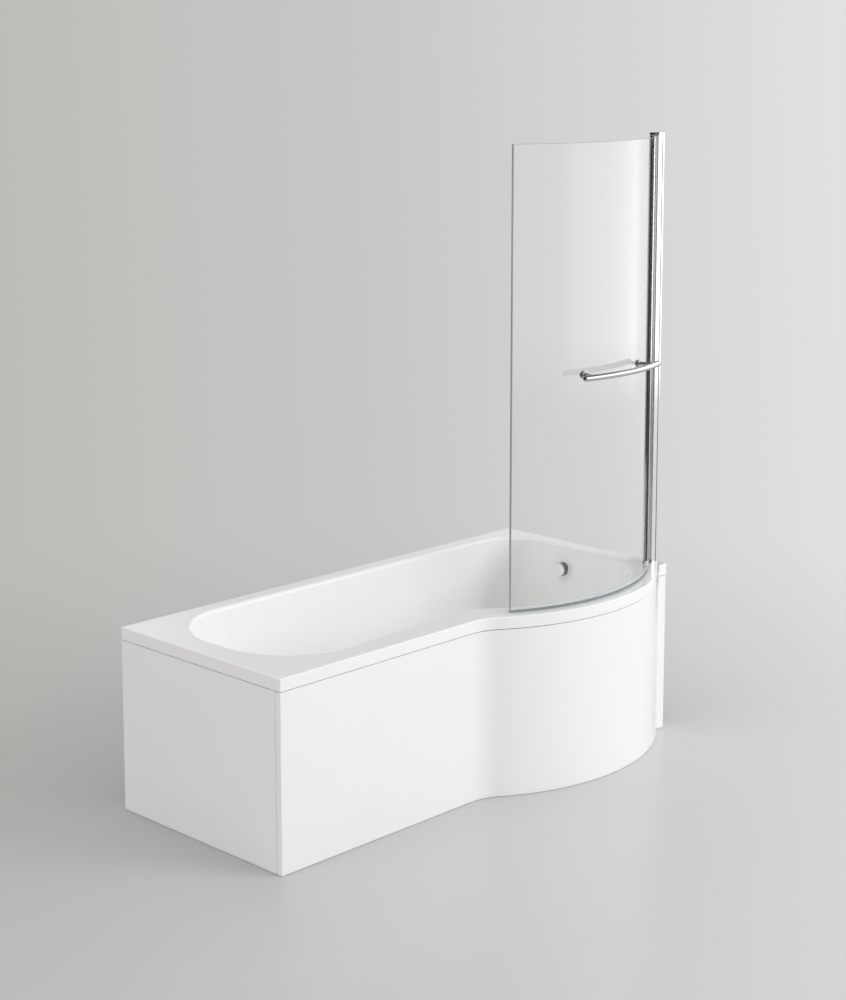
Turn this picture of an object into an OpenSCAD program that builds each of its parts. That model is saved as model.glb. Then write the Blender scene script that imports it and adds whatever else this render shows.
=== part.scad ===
// P shaped shower bath with a curved hinged glass screen, its panels, legs and pop-up waste.
// The plan is drawn from the plain end's front corner on the floor: X along the bath, Y towards
// the back wall, Z up. place() then moves it so that the origin is below the middle of the whole.

/* [Bath] */
// Overall length of the bath along the back wall
bath_length = 1700; // [1600:10:1800]
// Width of the narrow plain end
bath_width = 700; // [690:5:750]
// Height of the rim above the floor
rim_height = 560; // [540:5:600]
// Height of the lip round the rim
lip_height = 37; // [30:1:45]
// Thickness of the lip and of the rim
lip_wall = 6; // [4:0.5:8]
// Rounding of the rim's top edge
rim_round = 3; // [1:0.5:5]
// Radius of the bulge at the shower end
bulge_radius = 677; // [660:1:700]
// How far the bulge stands out past the straight front
bulge_depth = 150; // [130:1:160]
// Distance from the shower end to the middle of the bulge
bulge_from_end = 463; // [455:1:475]
// Radius of the hollow curve where the front turns into the bulge
waist_radius = 150; // [120:5:200]
// Radius of the hollow curve where the bulge meets the wall strip
strip_radius = 10; // [6:1:16]

/* [Basin] */
// Height of the basin's floor above the ground
floor_height = 165; // [155:1:185]
// Ledge at the plain end
ledge_plain = 82; // [70:1:100]
// Ledge along the straight front, at the plain end
ledge_front = 72; // [60:1:85]
// Ledge along the straight front, at the waist
ledge_waist = 109; // [95:1:120]
// Ledge along the back wall
ledge_back = 45; // [40:1:60]
// Ledge at the shower end
ledge_shower = 58; // [50:1:70]
// Ledge round the bulge
ledge_bulge = 85; // [75:1:95]
// Shift of the basin's bulge towards the shower end
bulge_shift = 20; // [0:1:30]
// Radius of the plain end's corners at the rim
plain_radius = 250; // [200:5:260]
// Radius of the shower end's front corner at the rim
shower_radius = 270; // [220:5:290]
// Radius of the shower end's back corner at the rim
back_radius = 130; // [110:5:150]
// Radius of the waist at the rim
basin_waist_radius = 80; // [60:5:120]
// Radius of the rolled edge where the rim turns down
roll_radius = 12; // [8:1:16]
// Run of the sloping backrest for each millimetre of drop
backrest_slope = 0.5; // [0.3:0.05:0.6]
// Run of the other walls for each millimetre of drop
wall_slope = 0.12; // [0.08:0.01:0.16]
// Height of the round foot of the walls
foot_round = 75; // [60:1:90]
// Width of the round foot of the side walls
foot_run = 75; // [60:1:90]
// Width of the round foot of the backrest
backrest_run = 110; // [80:1:130]
// Thickness of the shell
shell_wall = 6; // [4:0.5:8]
// Fall of the floor to the waste
floor_fall = 6; // [4:1:8]

/* [Panels] */
// Set back of the panels behind the lip
panel_set = 1.5; // [0.5:0.5:4]
// Thickness of the panels
panel_wall = 4; // [3:0.5:6]
// Depth of the panels' turned edges
panel_return = 20; // [15:1:25]
// Joint between the lip and the panels
panel_gap = 1.5; // [0.5:0.5:3]

/* [Cradle] */
// Thickness of the board under the floor
board_thick = 15; // [12:1:18]
// Width of the board
board_w = 300; // [260:10:320]
// Height of a leg channel
leg_h = 20; // [16:1:25]
// Width of a leg channel
leg_w = 32; // [30:1:40]
// Wall of a leg channel
leg_wall = 2; // [1.5:0.5:3]
// Length of a leg channel
leg_l = 470; // [440:10:500]
// Radius of a foot's threaded rod
rod_r = 5; // [4:0.5:6]
// Radius of a foot pad
pad_r = 25; // [20:1:30]

/* [Waste] */
// Distance from the shower end to the waste
waste_from_end = 330; // [300:5:380]
// Distance from the back wall to the waste and the overflow
waste_from_back = 322; // [300:1:340]
// Radius of the waste's hole
hole_r = 26; // [24:0.5:27]
// Radius of the overflow's hole
overflow_hole_r = 20; // [18:0.5:22]
// Drop from the rim to the overflow
overflow_drop = 75; // [65:1:90]
// Radius of the control knob
knob_r = 22; // [19:0.5:24]
// Length of the control knob
knob_l = 17; // [14:1:20]
// Lift of the pop-up plug
plug_lift = 10; // [6:1:12]
// Outside radius of the waste pipes
pipe_r = 16; // [14:1:17]
// Wall of the waste pipes
pipe_wall = 2; // [1.5:0.5:3]
// Radius of the trap's outlet
outlet_r = 20; // [18:0.5:21.5]

/* [Screen] */
// Height of the screen's frame above the rim
screen_height = 1410; // [1300:10:1500]
// Set back of the glass behind the bulge's lip
glass_set = 37; // [31:1:43]
// Thickness of the glass
glass_thick = 6; // [5:0.5:8]
// Gap between the glass and the rim
glass_gap = 6; // [5:0.5:8]
// Drop of the glass below the top of the frame
glass_drop = 8; // [4:1:20]
// Angle that the curved glass spans
glass_span = 71.9; // [60:0.1:74]
// Radius of the pivot post
post_r = 11; // [10:0.5:13]
// Radius of the pivot pins
pin_r = 4; // [3:0.5:5]
// Distance from the end wall to the pivot
pivot_from_end = 44; // [43:1:50]
// Offset of the pivot inside the middle of the glass
pivot_inset = 4.5; // [4:0.5:5]
// Width of the wall channel
channel_w = 26; // [24:1:30]
// Depth of the wall channel
channel_d = 30; // [28:1:30]
// Wall of the channel and of the profile in it
channel_wall = 2; // [1.5:0.5:2.5]
// Distance between the wall screws
screw_pitch = 400; // [380:10:410]
// Radius of the wall screws' holes
screw_hole_r = 2.6; // [2.2:0.1:3]

/* [Towel rail] */
// Height of the towel rail above the rim
rail_height = 707; // [500:1:900]
// Radius of the rail's bar
rail_r = 9.5; // [8:0.5:12]
// Distance from the glass to the middle of the bar
rail_stand = 55; // [45:1:65]
// Angle from the middle of the bulge to the rail's first stem
stem_a = -9; // [-12:0.5:-6]
// Angle from the middle of the bulge to the rail's second stem
stem_b = 17; // [12:0.5:18]
// Angle that the bar runs on past its first stem
rail_over_a = 4; // [2:0.1:5]
// Angle that the bar runs on past its second stem
rail_over_b = 2.4; // [1:0.1:2.6]
// Radius of a stem
stem_r = 6; // [5:0.5:7]
// Radius of the rosettes on the glass
rosette_r = 12; // [10:0.5:14]

/* [Clearances] */
// Gap between pieces that only pass near each other
air = 0.3; // [0.3:0.05:0.5]
// Clearance round a screw or a rod in its hole
fit = 0.1; // [0.1:0.05:0.2]
// Running clearance round a pin
run = 0.05; // [0.03:0.01:0.09]
// Fineness of the circles
$fn = 64; // [32:16:128]

/* [Hidden] */
bulge_x = bath_length - bulge_from_end;
bulge_y = bulge_radius - bulge_depth;
gap_z = rim_height - lip_height;
frame_top = rim_height + screen_height;
glass_radius = bulge_radius - glass_set;
glass_mid = glass_radius - glass_thick / 2;
rail_arc = glass_radius + rail_stand;
rail_z = rim_height + rail_height;
front_y = bulge_y - rail_arc - rail_r;
origin_x = bath_length / 2;
origin_y = (bath_width + front_y) / 2;

// pivot of the screen, on a circle just inside the glass
pivot_arc = glass_mid - pivot_inset;
pivot_x = bath_length - pivot_from_end;
pivot_y = bulge_y - sqrt(pow(pivot_arc, 2) - pow(pivot_x - bulge_x, 2));
pivot_a = atan2(pivot_y - bulge_y, pivot_x - bulge_x);
foot_plate = 7;
glass_start = 12;
jaw_l = 26;
jaw_set = 0.5;
jaw_wall = 2;
gasket_wall = 1;
hinge_a = pivot_a - along(glass_start);
jaw_a = pivot_a - along(jaw_l);
free_a = hinge_a - glass_span;
post_bore = 7;
bush_lip = 1.5;
bush_l = 20;
glass_bottom = rim_height + glass_gap;
glass_top = frame_top - glass_drop;
post_bottom = rim_height + foot_plate + air + bush_lip;
post_top = frame_top - foot_plate - air - bush_lip;
profile_x = pivot_x + post_r + 2;
profile_w = channel_w - 2 * channel_wall - 2 * air;

// basin: the drop of each ring, the waste and the slanted overflow
basin_x = bulge_x + bulge_shift;
basin_arc = bulge_radius - ledge_bulge;
wall_top = rim_height - roll_radius;
wall_foot = floor_height + floor_fall + foot_round;
floor_out = floor_height - 10;
waste_x = bath_length - waste_from_end;
waste_y = bath_width - waste_from_back;
recess_r = 48;
recess_z = floor_height - 2;
overflow_h = rim_height - overflow_drop;
tilt = atan(wall_slope);
overflow_x = bath_length - ledge_shower - roll_radius - wall_slope * (wall_top - overflow_h);
board_z = floor_out - board_thick;
leg_z = board_z - leg_h;
link_z = leg_z - pipe_r - 6;
pipe_x = overflow_x + 30;
leg_xs = [520, 900, waste_x - 140];
leg_y = bath_width / 2 + 20;
foot_reach = leg_l / 2 - 18;
board_y = leg_y - board_w / 2;
board_x = 420;
board_l = waste_x - 90 - board_x;

// cradle, battens and clips
pad_floor = 6;
nut_h = 8;
rod_top = board_z + nut_h + 4;
leg_screw_r = 2;
clip_wall = 2.5;
batten_set = 8;
batten_w = 30;
batten_h = 18;
batten_l = 620;
batten_x = 60;
batten_stop = 110;
clip_hook = lip_wall + air + clip_wall;
clip_z = rim_height - lip_wall - batten_h;
floor_batten_h = 38;
clip_w = 40;
clip_drop = 60;
clip_xs = [bath_length * 0.25, bath_length * 0.7];
clip_y = bath_width * 0.3;
panel_top = gap_z - panel_gap;

// overflow, waste and trap
gasket_h = 3;
cup_front = -shell_wall * cos(tilt) - gasket_h;
cup_back = cup_front - 22;
rosette_h = 3;
rosette_cover_r = 25;
spindle_r = 5;
knob_z = rosette_h + 3;
socket_r = pipe_r + 3;
socket_l = 25;
socket_drop = 45;
elbow_in = socket_r;
cable_r = 2.5;
body_r = hole_r + 4;
body_top = floor_out - gasket_h;
body_foot = link_z - socket_r - 1;
throat_foot = body_top - 22;
flange_r = recess_r - 6;
flange_top = recess_z + 3;
plug_r = hole_r + 7;
plug_stem_r = 4;
ring_h = 1.7;
stem_foot = throat_foot - plug_lift - 2;
tail_r = 20;
trap_r = 36;
trap_foot = 12;
outlet_z = trap_foot + outlet_r + 5;
trap_top = outlet_z + outlet_r + 3;
neck_r = tail_r + 5;
neck_top = body_foot - 5;
tail_foot = outlet_z - 8;
outlet_l = 82;
spigot_l = 6;
spigot_r = outlet_r - 0.5;

// screen
profile_d = 21;
profile_foot = rim_height + foot_plate;
profile_head = frame_top - foot_plate;
plug_in = 20;
pin_l = 18;
wall_screw_zs = [for (i = [0:3]) rim_height + 105 + i * screw_pitch];
adjust_r = 1.75;
adjust_zs = [rim_height + 150, rim_height + screen_height / 2, frame_top - 150];
glass_half = glass_thick / 2 + fit;
slot_half = glass_half + gasket_wall;
jaw_half = slot_half + jaw_wall;
seal_wall = 1.2;
seal_up = 10;
glass_hole_r = 7;
washer_h = 1;
bolt_r = 4;
bolt_in = 14;

// angle at the bulge's centre of a length along the glass
function along(l) = l / glass_mid * 180 / PI;
function arc(c, r, a, b, n) =
    [for (i = [0:n - 1]) let (t = a + (b - a) * i / (n - 1)) c + r * [cos(t), sin(t)]];
function fill(p, q, n) = [for (i = [1:n]) p + (q - p) * i / (n + 1)];
// square corner at p with a small radius r, and k more points on an arm along u and along v
function corner(p, u, v, arm, r, k) = concat(
    [for (i = [0:k - 1]) p + u * (r + (arm - r) * (k - i) / k)],
    [p + u * r, p + (u + v) * r * (1 - sqrt(0.5)), p + v * r],
    [for (i = [1:k]) p + v * (r + (arm - r) * i / k)]);
// where a hollow curve of radius w, resting on y = f, meets a bulge of radius r on the side s
function hollow(cx, r, w, f, s) =
    [cx + s * sqrt(pow(r + w, 2) - pow(bulge_y - f + w, 2)), f - w];

// the bath's outline, drawn in by i, with the same number of points as basin()
function outline(i) = let (
        w = hollow(bulge_x, bulge_radius - i, waist_radius + i, i, -1),
        s = hollow(bulge_x, bulge_radius - i, strip_radius + i, i, 1),
        aw = atan2(bulge_y - w.y, bulge_x - w.x),
        as = atan2(s.y - bulge_y, s.x - bulge_x),
        r = max(1, 4 - i), x1 = bath_length - i, y1 = bath_width - i,
        a = corner([i, i], [0, 1], [1, 0], plain_radius + ledge_front - i, r, 3),
        b = arc(w, waist_radius + i, 90, aw, 6),
        c = arc([bulge_x, bulge_y], bulge_radius - i, aw - 180, as, 15),
        d = arc(s, strip_radius + i, as + 180, 90, 4),
        e = [[x1 - r, i], [x1 - r * (1 - sqrt(0.5)), i + r * (1 - sqrt(0.5))], [x1, i + r],
            [x1, i + 80], [x1, i + 200]],
        f = corner([x1, y1], [0, -1], [-1, 0], back_radius + ledge_back - i, r, 3),
        g = corner([i, y1], [1, 0], [0, -1], plain_radius + ledge_back - i, r, 3))
    concat(a, fill(a[8], b[0], 2), b, [for (j = [1:14]) c[j]], [for (j = [1:3]) d[j]], e,
        fill(e[4], f[0], 1), f, fill(f[8], g[0], 8), g, fill(g[8], a[0], 1));

// the basin's outline when each side is drawn in by d and the backrest by de
function basin(d, de) = let (
        slant = atan2(ledge_waist - ledge_front,
            hollow(basin_x, basin_arc, basin_waist_radius, ledge_waist, -1).x - ledge_plain - plain_radius),
        u = [cos(slant), sin(slant)], n = [sin(slant), -cos(slant)],
        rp = plain_radius - d, rk = back_radius - d * 0.5, rs = shower_radius - d * 0.5,
        rb = basin_arc - d, rw = basin_waist_radius + d * 0.8,
        cp = [ledge_plain + de + rp, ledge_front + plain_radius],
        p = cp + rp * n,
        q = p + rw * n - [basin_x, bulge_y],
        h = q * u,
        t = -h - sqrt(h * h - q * q + pow(rb + rw, 2)),
        cw = [basin_x, bulge_y] + q + t * u,
        aw = atan2(bulge_y - cw.y, basin_x - cw.x),
        xs = bath_length - ledge_shower - d,
        cs = [xs - rs, bulge_y - sqrt(pow(rb - rs, 2) - pow(xs - rs - basin_x, 2))],
        as = atan2(cs.y - bulge_y, cs.x - basin_x),
        yk = bath_width - ledge_back - d,
        a = arc(cp, rp, 180, 270 + slant, 9),
        b = arc(cw, rw, 90 + slant, aw, 6),
        c = arc([basin_x, bulge_y], rb, aw - 180, as, 15),
        e = arc(cs, rs, as, 0, 9),
        f = arc([xs - rk, yk - rk], rk, 0, 90, 9),
        g = arc([cp.x, yk - rp], rp, 90, 180, 9))
    concat(a, fill(a[8], b[0], 2), b, [for (j = [1:14]) c[j]], [for (j = [1:8]) e[j]],
        fill(e[8], f[0], 1), f, fill(f[8], g[0], 8), g, fill(g[8], a[0], 1));

// the front panel's line, drawn in by i, from the plain end's corner to the shower end's
function panel_line(i) = let (
        w = hollow(bulge_x, bulge_radius - i, waist_radius + i, i, -1),
        s = hollow(bulge_x, bulge_radius - i, strip_radius + i, i, 1),
        aw = atan2(bulge_y - w.y, bulge_x - w.x),
        as = atan2(s.y - bulge_y, s.x - bulge_x),
        c = arc([bulge_x, bulge_y], bulge_radius - i, aw - 180, as, 61))
    concat([[i, i]], arc(w, waist_radius + i, 90, aw, 13), [for (j = [1:59]) c[j]],
        arc(s, strip_radius + i, as + 180, 90, 7), [[bath_length - i, i]]);
function flip(ps) = [for (j = [len(ps) - 1:-1:0]) ps[j]];

function raise(ps, z) = [for (p = ps) [p.x, p.y, z]];
// a basin ring on the wall: k runs from 0 at the roll's end to 1 at the round foot
function wall_ring(k, off) = let (drop = (wall_top - wall_foot) * k)
    raise(basin(roll_radius + wall_slope * drop - off, roll_radius + backrest_slope * drop - off),
        wall_top - drop);
// a basin ring on the round foot, which ends level at height low
function foot_ring(t, off, low) = let (drop = wall_top - wall_foot)
    raise(basin(roll_radius + wall_slope * drop + foot_run * (1 - cos(t)) - off,
            roll_radius + backrest_slope * drop + backrest_run * (1 - cos(t)) - off),
        wall_foot - (wall_foot - low) * sin(t));
// a circle round the waste whose points lie in the directions of the floor's own points
function waste_ring(r, z) = [for (p = basin(roll_radius + wall_slope * (wall_top - wall_foot) + foot_run,
        roll_radius + backrest_slope * (wall_top - wall_foot) + backrest_run))
    let (a = atan2(p.y - waste_y, p.x - waste_x)) [waste_x + r * cos(a), waste_y + r * sin(a), z]];

// a solid skinned over a list of rings that all have the same number of points
module skin(rings) {
    n = len(rings[0]);
    m = len(rings);
    polyhedron(
        points = [for (r = rings) each r],
        faces = concat(
            [[for (j = [0:n - 1]) j]],
            [for (i = [0:m - 2], j = [0:n - 1]) let (k = (j + 1) % n)
                each [[i * n + j, (i + 1) * n + j, i * n + k],
                    [i * n + k, (i + 1) * n + j, (i + 1) * n + k]]],
            [[for (j = [n - 1:-1:0]) (m - 1) * n + j]]),
        convexity = 8);
}

module place() {
    translate([-origin_x, -origin_y, 0]) children();
}

// a tube or a rod upright on the plan point p, from z0 to z1
module rod(p, r, z0, z1) {
    translate([p.x, p.y, z0]) cylinder(r = r, h = z1 - z0);
}

module pipe(p, r, bore, z0, z1) {
    difference() {
        rod(p, r, z0, z1);
        rod(p, bore, z0 - 1, z1 + 1);
    }
}

// the frame of the overflow: its Z axis leaves the shower end's wall at a right angle
module at_overflow() {
    translate([overflow_x, waste_y, overflow_h]) rotate([0, tilt - 90, 0]) children();
}

// a band round the bulge's centre between two radii, two heights and two angles
module band(r0, r1, z0, z1, a0, a1) {
    translate([bulge_x, bulge_y, z0]) rotate([0, 0, a0])
        rotate_extrude(angle = a1 - a0, $fn = 180)
            translate([r0, 0]) square([r1 - r0, z1 - z0]);
}

// ---- bath ----
module bath_shell() {
    color("white") place() difference() {
        skin(concat(
            [for (t = [90:-15:15]) foot_ring(t, shell_wall, floor_out)],
            [for (k = [1:-0.5:0]) wall_ring(k, shell_wall)],
            [raise(basin(0, 0), rim_height - lip_wall)],
            [raise(outline(lip_wall), rim_height - lip_wall)],
            [raise(outline(lip_wall), gap_z)],
            [raise(outline(0), gap_z)],
            [for (t = [0:45:90])
                raise(outline(rim_round * (1 - cos(t))), rim_height - rim_round * (1 - sin(t)))],
            [for (t = [0:30:60])
                raise(basin(roll_radius * sin(t), roll_radius * sin(t)), wall_top + roll_radius * cos(t))],
            [for (k = [0:0.5:1]) wall_ring(k, 0)],
            [for (t = [15:15:90]) foot_ring(t, 0, floor_height + floor_fall)],
            [waste_ring(recess_r, floor_height)],
            [waste_ring(recess_r - 3, recess_z)]));
        rod([waste_x, waste_y], hole_r, floor_out - 5, floor_height + 5);
        at_overflow() translate([0, 0, -shell_wall * 2]) cylinder(r = overflow_hole_r, h = shell_wall * 4);
    }
}

module base_board() {
    color("burlywood") place() difference() {
        translate([board_x, board_y, board_z]) cube([board_l, board_w, board_thick]);
        leg_screw_spots() rod([0, 0], leg_screw_r + fit, board_z - 1, board_z + board_thick - 2);
    }
}

module rim_battens() {
    back = bath_width - clip_hook - air - batten_w;
    shower = bath_length - clip_hook - air - batten_w;
    color("burlywood") place() difference() {
        translate([0, 0, clip_z]) {
            translate([batten_x, lip_wall + batten_set, 0]) cube([batten_l, batten_w, batten_h]);
            translate([lip_wall + batten_set, batten_stop, 0])
                cube([batten_w, bath_width - 2 * batten_stop, batten_h]);
            translate([plain_radius * 0.6, back, 0])
                cube([bath_length - plain_radius * 1.2, batten_w, batten_h]);
            translate([shower, batten_stop, 0]) cube([batten_w, bath_width - 2 * batten_stop, batten_h]);
        }
        clip_screw_spots() rod([0, 0], leg_screw_r + fit, clip_z - 1, clip_z + batten_h - 4);
    }
}

// ---- cradle ----
module leg_screw_spots() {
    for (x = leg_xs, y = [-1, 1]) translate([x, leg_y + y * board_w * 0.35, 0]) children();
}

module foot_spots() {
    for (x = leg_xs, y = [-1, 1]) translate([x, leg_y + y * foot_reach, 0]) children();
}

module leg_channel(x) {
    color("silver") place() difference() {
        translate([x - leg_w / 2, leg_y - leg_l / 2, leg_z]) cube([leg_w, leg_l, leg_h]);
        translate([x - leg_w / 2 + leg_wall, leg_y - leg_l / 2 - 1, leg_z - 1])
            cube([leg_w - 2 * leg_wall, leg_l + 2, leg_h - leg_wall + 1]);
        leg_screw_spots() rod([0, 0], leg_screw_r + fit, leg_z, board_z + 1);
        foot_spots() rod([0, 0], rod_r + fit, leg_z, board_z + 1);
    }
}

module leg_channel_plain() {
    leg_channel(leg_xs[0]);
}

module leg_channel_middle() {
    leg_channel(leg_xs[1]);
}

module leg_channel_shower() {
    leg_channel(leg_xs[2]);
}

module leg_screws() {
    color("silver") place() leg_screw_spots() {
        rod([0, 0], leg_screw_r, board_z - leg_wall - 1, board_z + board_thick - 2);
        rod([0, 0], leg_screw_r * 2, board_z - leg_wall - 3, board_z - leg_wall);
    }
}

module foot_rods() {
    color("silver") place() foot_spots() rod([0, 0], rod_r, pad_floor, rod_top);
}

module foot_nuts() {
    color("silver") place() foot_spots() for (z = [board_z, board_z - leg_wall - nut_h])
        difference() {
            translate([0, 0, z]) cylinder(r = rod_r * 1.9, h = nut_h, $fn = 6);
            rod([0, 0], rod_r + fit, z - 1, z + nut_h + 1);
        }
}

module foot_pads() {
    color("dimgray") place() foot_spots() difference() {
        union() {
            rod([0, 0], pad_r, 0, pad_floor + 2);
            rod([0, 0], rod_r * 2, 0, pad_floor + 12);
        }
        rod([0, 0], rod_r + fit, pad_floor, pad_floor + 20);
    }
}

// hook under the lip with a leg down the wall; the wall is at y = 0 and the lip's foot at z = 0
module wall_clip() {
    difference() {
        union() {
            translate([-clip_w / 2, -clip_hook, -clip_wall]) cube([clip_w, clip_hook, clip_wall]);
            translate([-clip_w / 2, -clip_hook, -clip_wall]) cube([clip_w, clip_wall, lip_height * 0.6]);
            translate([-clip_w / 2, -clip_wall, -clip_drop]) cube([clip_w, clip_wall, clip_drop]);
        }
        for (x = [-1, 1]) translate([x * clip_w / 4, 1, -clip_drop * 0.6])
            rotate([90, 0, 0]) cylinder(r = screw_hole_r, h = clip_wall + 2);
    }
}

module wall_clips() {
    color("silver") place() {
        for (x = clip_xs) translate([x, bath_width, gap_z]) wall_clip();
        translate([bath_length, clip_y, gap_z]) rotate([0, 0, -90]) wall_clip();
    }
}

// ---- panels ----
// a plate behind the front panel's line, as deep as depth, with the two ends turned back
module panel_plate(depth, z0, z1) {
    turned = panel_set + panel_return;
    x1 = bath_length - panel_set;
    inner = depth < panel_return ? [[panel_set + depth, turned]] : [];
    other = depth < panel_return ? [[x1 - depth, turned]] : [];
    translate([0, 0, z0]) linear_extrude(z1 - z0) polygon(concat(
        [[panel_set, turned]], panel_line(panel_set), [[x1, turned]], other,
        flip(panel_line(panel_set + depth)), inner));
}

module front_panel() {
    color("white") place() {
        panel_plate(panel_wall, 0, panel_top);
        panel_plate(panel_return, 0, panel_wall);
        panel_plate(panel_return, panel_top - panel_wall, panel_top);
    }
}

module end_panel() {
    y0 = panel_set + panel_return + air;
    color("white") place() difference() {
        translate([panel_set, y0, 0]) cube([panel_return, bath_width - y0, panel_top]);
        translate([panel_set + panel_wall, y0 + panel_wall, panel_wall])
            cube([panel_return, bath_width - y0 - 2 * panel_wall, panel_top - 2 * panel_wall]);
    }
}

module panel_battens() {
    behind = panel_set + panel_return + air;
    bulge_in = bulge_radius - behind;
    color("burlywood") place() {
        translate([batten_x, behind, 0]) cube([batten_l, batten_w, floor_batten_h]);
        translate([behind, batten_stop, 0]) cube([batten_w, bath_width - 2 * batten_stop, floor_batten_h]);
        translate([bulge_x - batten_l / 6, bulge_y - sqrt(pow(bulge_in, 2) - pow(batten_l / 6, 2)), 0])
            cube([batten_l / 3, batten_w, floor_batten_h]);
    }
}

// spots of the clips that hold the panels' top edges, on the battens under the rim
module panel_clip_spots() {
    for (x = [0.15, 0.5, 0.85]) translate([batten_x + batten_l * x, 0, 0]) children();
    for (y = [0.2, 0.8]) translate([0, bath_width * y, 0]) rotate([0, 0, 90]) mirror([0, 1, 0]) children();
}

module clip_screw_spots() {
    panel_clip_spots() translate([0, lip_wall + batten_set + batten_w / 2, 0]) children();
}

module panel_clips() {
    y0 = lip_wall + batten_set;
    clip_foot = panel_top + air;
    color("silver") place() difference() {
        panel_clip_spots() {
            translate([-clip_w / 2, y0, clip_z - clip_wall]) cube([clip_w, batten_w, clip_wall]);
            translate([-clip_w / 2, y0, clip_foot]) cube([clip_w, clip_wall, clip_z - clip_foot]);
        }
        clip_screw_spots() rod([0, 0], leg_screw_r + fit, clip_z - clip_wall - 1, clip_z + 1);
    }
}

module clip_screws() {
    head = clip_z - clip_wall;
    color("silver") place() clip_screw_spots() {
        rod([0, 0], leg_screw_r, head - 1, clip_z + batten_h - 4);
        rod([0, 0], leg_screw_r * 2, head - 2, head);
    }
}

// ---- overflow, waste and trap ----
module overflow_body() {
    color("dimgray") place() difference() {
        union() {
            at_overflow() translate([0, 0, cup_back])
                cylinder(r = overflow_hole_r + 10, h = cup_front - cup_back);
            rod([pipe_x, waste_y], socket_r, overflow_h - socket_drop - socket_l, overflow_h + 5);
        }
        at_overflow() translate([0, 0, cup_back + 3]) cylinder(r = overflow_hole_r - 0.5 + fit, h = 40);
        rod([pipe_x, waste_y], pipe_r - pipe_wall, overflow_h - socket_drop - 1, overflow_h);
        rod([pipe_x, waste_y], pipe_r + fit, overflow_h - socket_drop - socket_l - 1,
            overflow_h - socket_drop);
    }
}

module overflow_gasket() {
    color("black") place() at_overflow() translate([0, 0, cup_front]) difference() {
        cylinder(r = overflow_hole_r + 8, h = gasket_h);
        translate([0, 0, -1]) cylinder(r = overflow_hole_r, h = gasket_h + 2);
    }
}

module overflow_rosette() {
    color("silver") place() at_overflow() difference() {
        union() {
            cylinder(r = rosette_cover_r, h = rosette_h);
            translate([0, 0, cup_back + 8]) cylinder(r = overflow_hole_r - 0.5, h = -cup_back - 7);
        }
        translate([0, 0, cup_back]) cylinder(r = spindle_r + run, h = 50);
        for (a = [0:60:300]) rotate([0, 0, a]) translate([overflow_hole_r * 0.65, 0, cup_back])
            cylinder(r = 3.5, h = 50);
    }
}

module overflow_pipe() {
    color("gainsboro") place()
        pipe([pipe_x, waste_y], pipe_r, pipe_r - pipe_wall, link_z + elbow_in, overflow_h - socket_drop);
}

// an elbow whose sockets point up and towards the waste
module pipe_elbow() {
    color("dimgray") place() translate([pipe_x, waste_y, link_z]) difference() {
        union() {
            sphere(r = socket_r);
            for (a = [0, -90]) rotate([0, a, 0]) cylinder(r = socket_r, h = elbow_in + socket_l);
        }
        sphere(r = pipe_r - pipe_wall);
        for (a = [0, -90]) rotate([0, a, 0]) {
            cylinder(r = pipe_r - pipe_wall, h = elbow_in + 1);
            translate([0, 0, elbow_in]) cylinder(r = pipe_r + fit, h = socket_l + 1);
        }
    }
}

module link_pipe() {
    x0 = waste_x + body_r + 4;
    color("gainsboro") place() translate([x0, waste_y, link_z]) rotate([0, 90, 0]) difference() {
        cylinder(r = pipe_r, h = pipe_x - elbow_in - x0);
        translate([0, 0, -1]) cylinder(r = pipe_r - pipe_wall, h = bath_length);
    }
}

// the cable that lifts the plug: down the overflow pipe, along the link pipe and up to the stem
module lift_cable() {
    bend = 30;
    turn_up = 12;
    color("black") place() {
        rod([pipe_x, waste_y], cable_r, link_z + bend, overflow_h - 14);
        translate([pipe_x - bend, waste_y, link_z + bend]) rotate([90, 0, 0])
            rotate([0, 0, -90]) rotate_extrude(angle = 90) translate([bend, 0]) circle(r = cable_r);
        translate([waste_x + turn_up, waste_y, link_z]) rotate([0, 90, 0])
            cylinder(r = cable_r, h = pipe_x - bend - waste_x - turn_up);
        translate([waste_x + turn_up, waste_y, link_z + turn_up]) rotate([90, 0, 0])
            rotate([0, 0, 180]) rotate_extrude(angle = 90) translate([turn_up, 0]) circle(r = cable_r);
        rod([waste_x, waste_y], cable_r, link_z + turn_up, stem_foot - air);
    }
}

module waste_body() {
    w = [waste_x, waste_y];
    color("dimgray") place() difference() {
        union() {
            rod(w, body_r + 8, body_top - 4, body_top);
            rod(w, body_r, body_foot, body_top);
            rod(w, tail_r, tail_foot, body_foot);
            translate([waste_x, waste_y, link_z]) rotate([0, 90, 0])
                cylinder(r = socket_r, h = body_r + 4 + socket_l);
        }
        rod(w, hole_r - 0.5 + fit, body_foot + 3, body_top + 1);
        rod(w, tail_r - 3, tail_foot - 1, body_foot + 4);
        translate([waste_x, waste_y, link_z]) rotate([0, 90, 0]) {
            cylinder(r = pipe_r - pipe_wall, h = body_r + 5);
            translate([0, 0, body_r + 4]) cylinder(r = pipe_r + fit, h = socket_l + 1);
        }
    }
}

module waste_gasket() {
    color("black") place() pipe([waste_x, waste_y], body_r + 6, hole_r + 1, body_top, floor_out);
}

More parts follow.
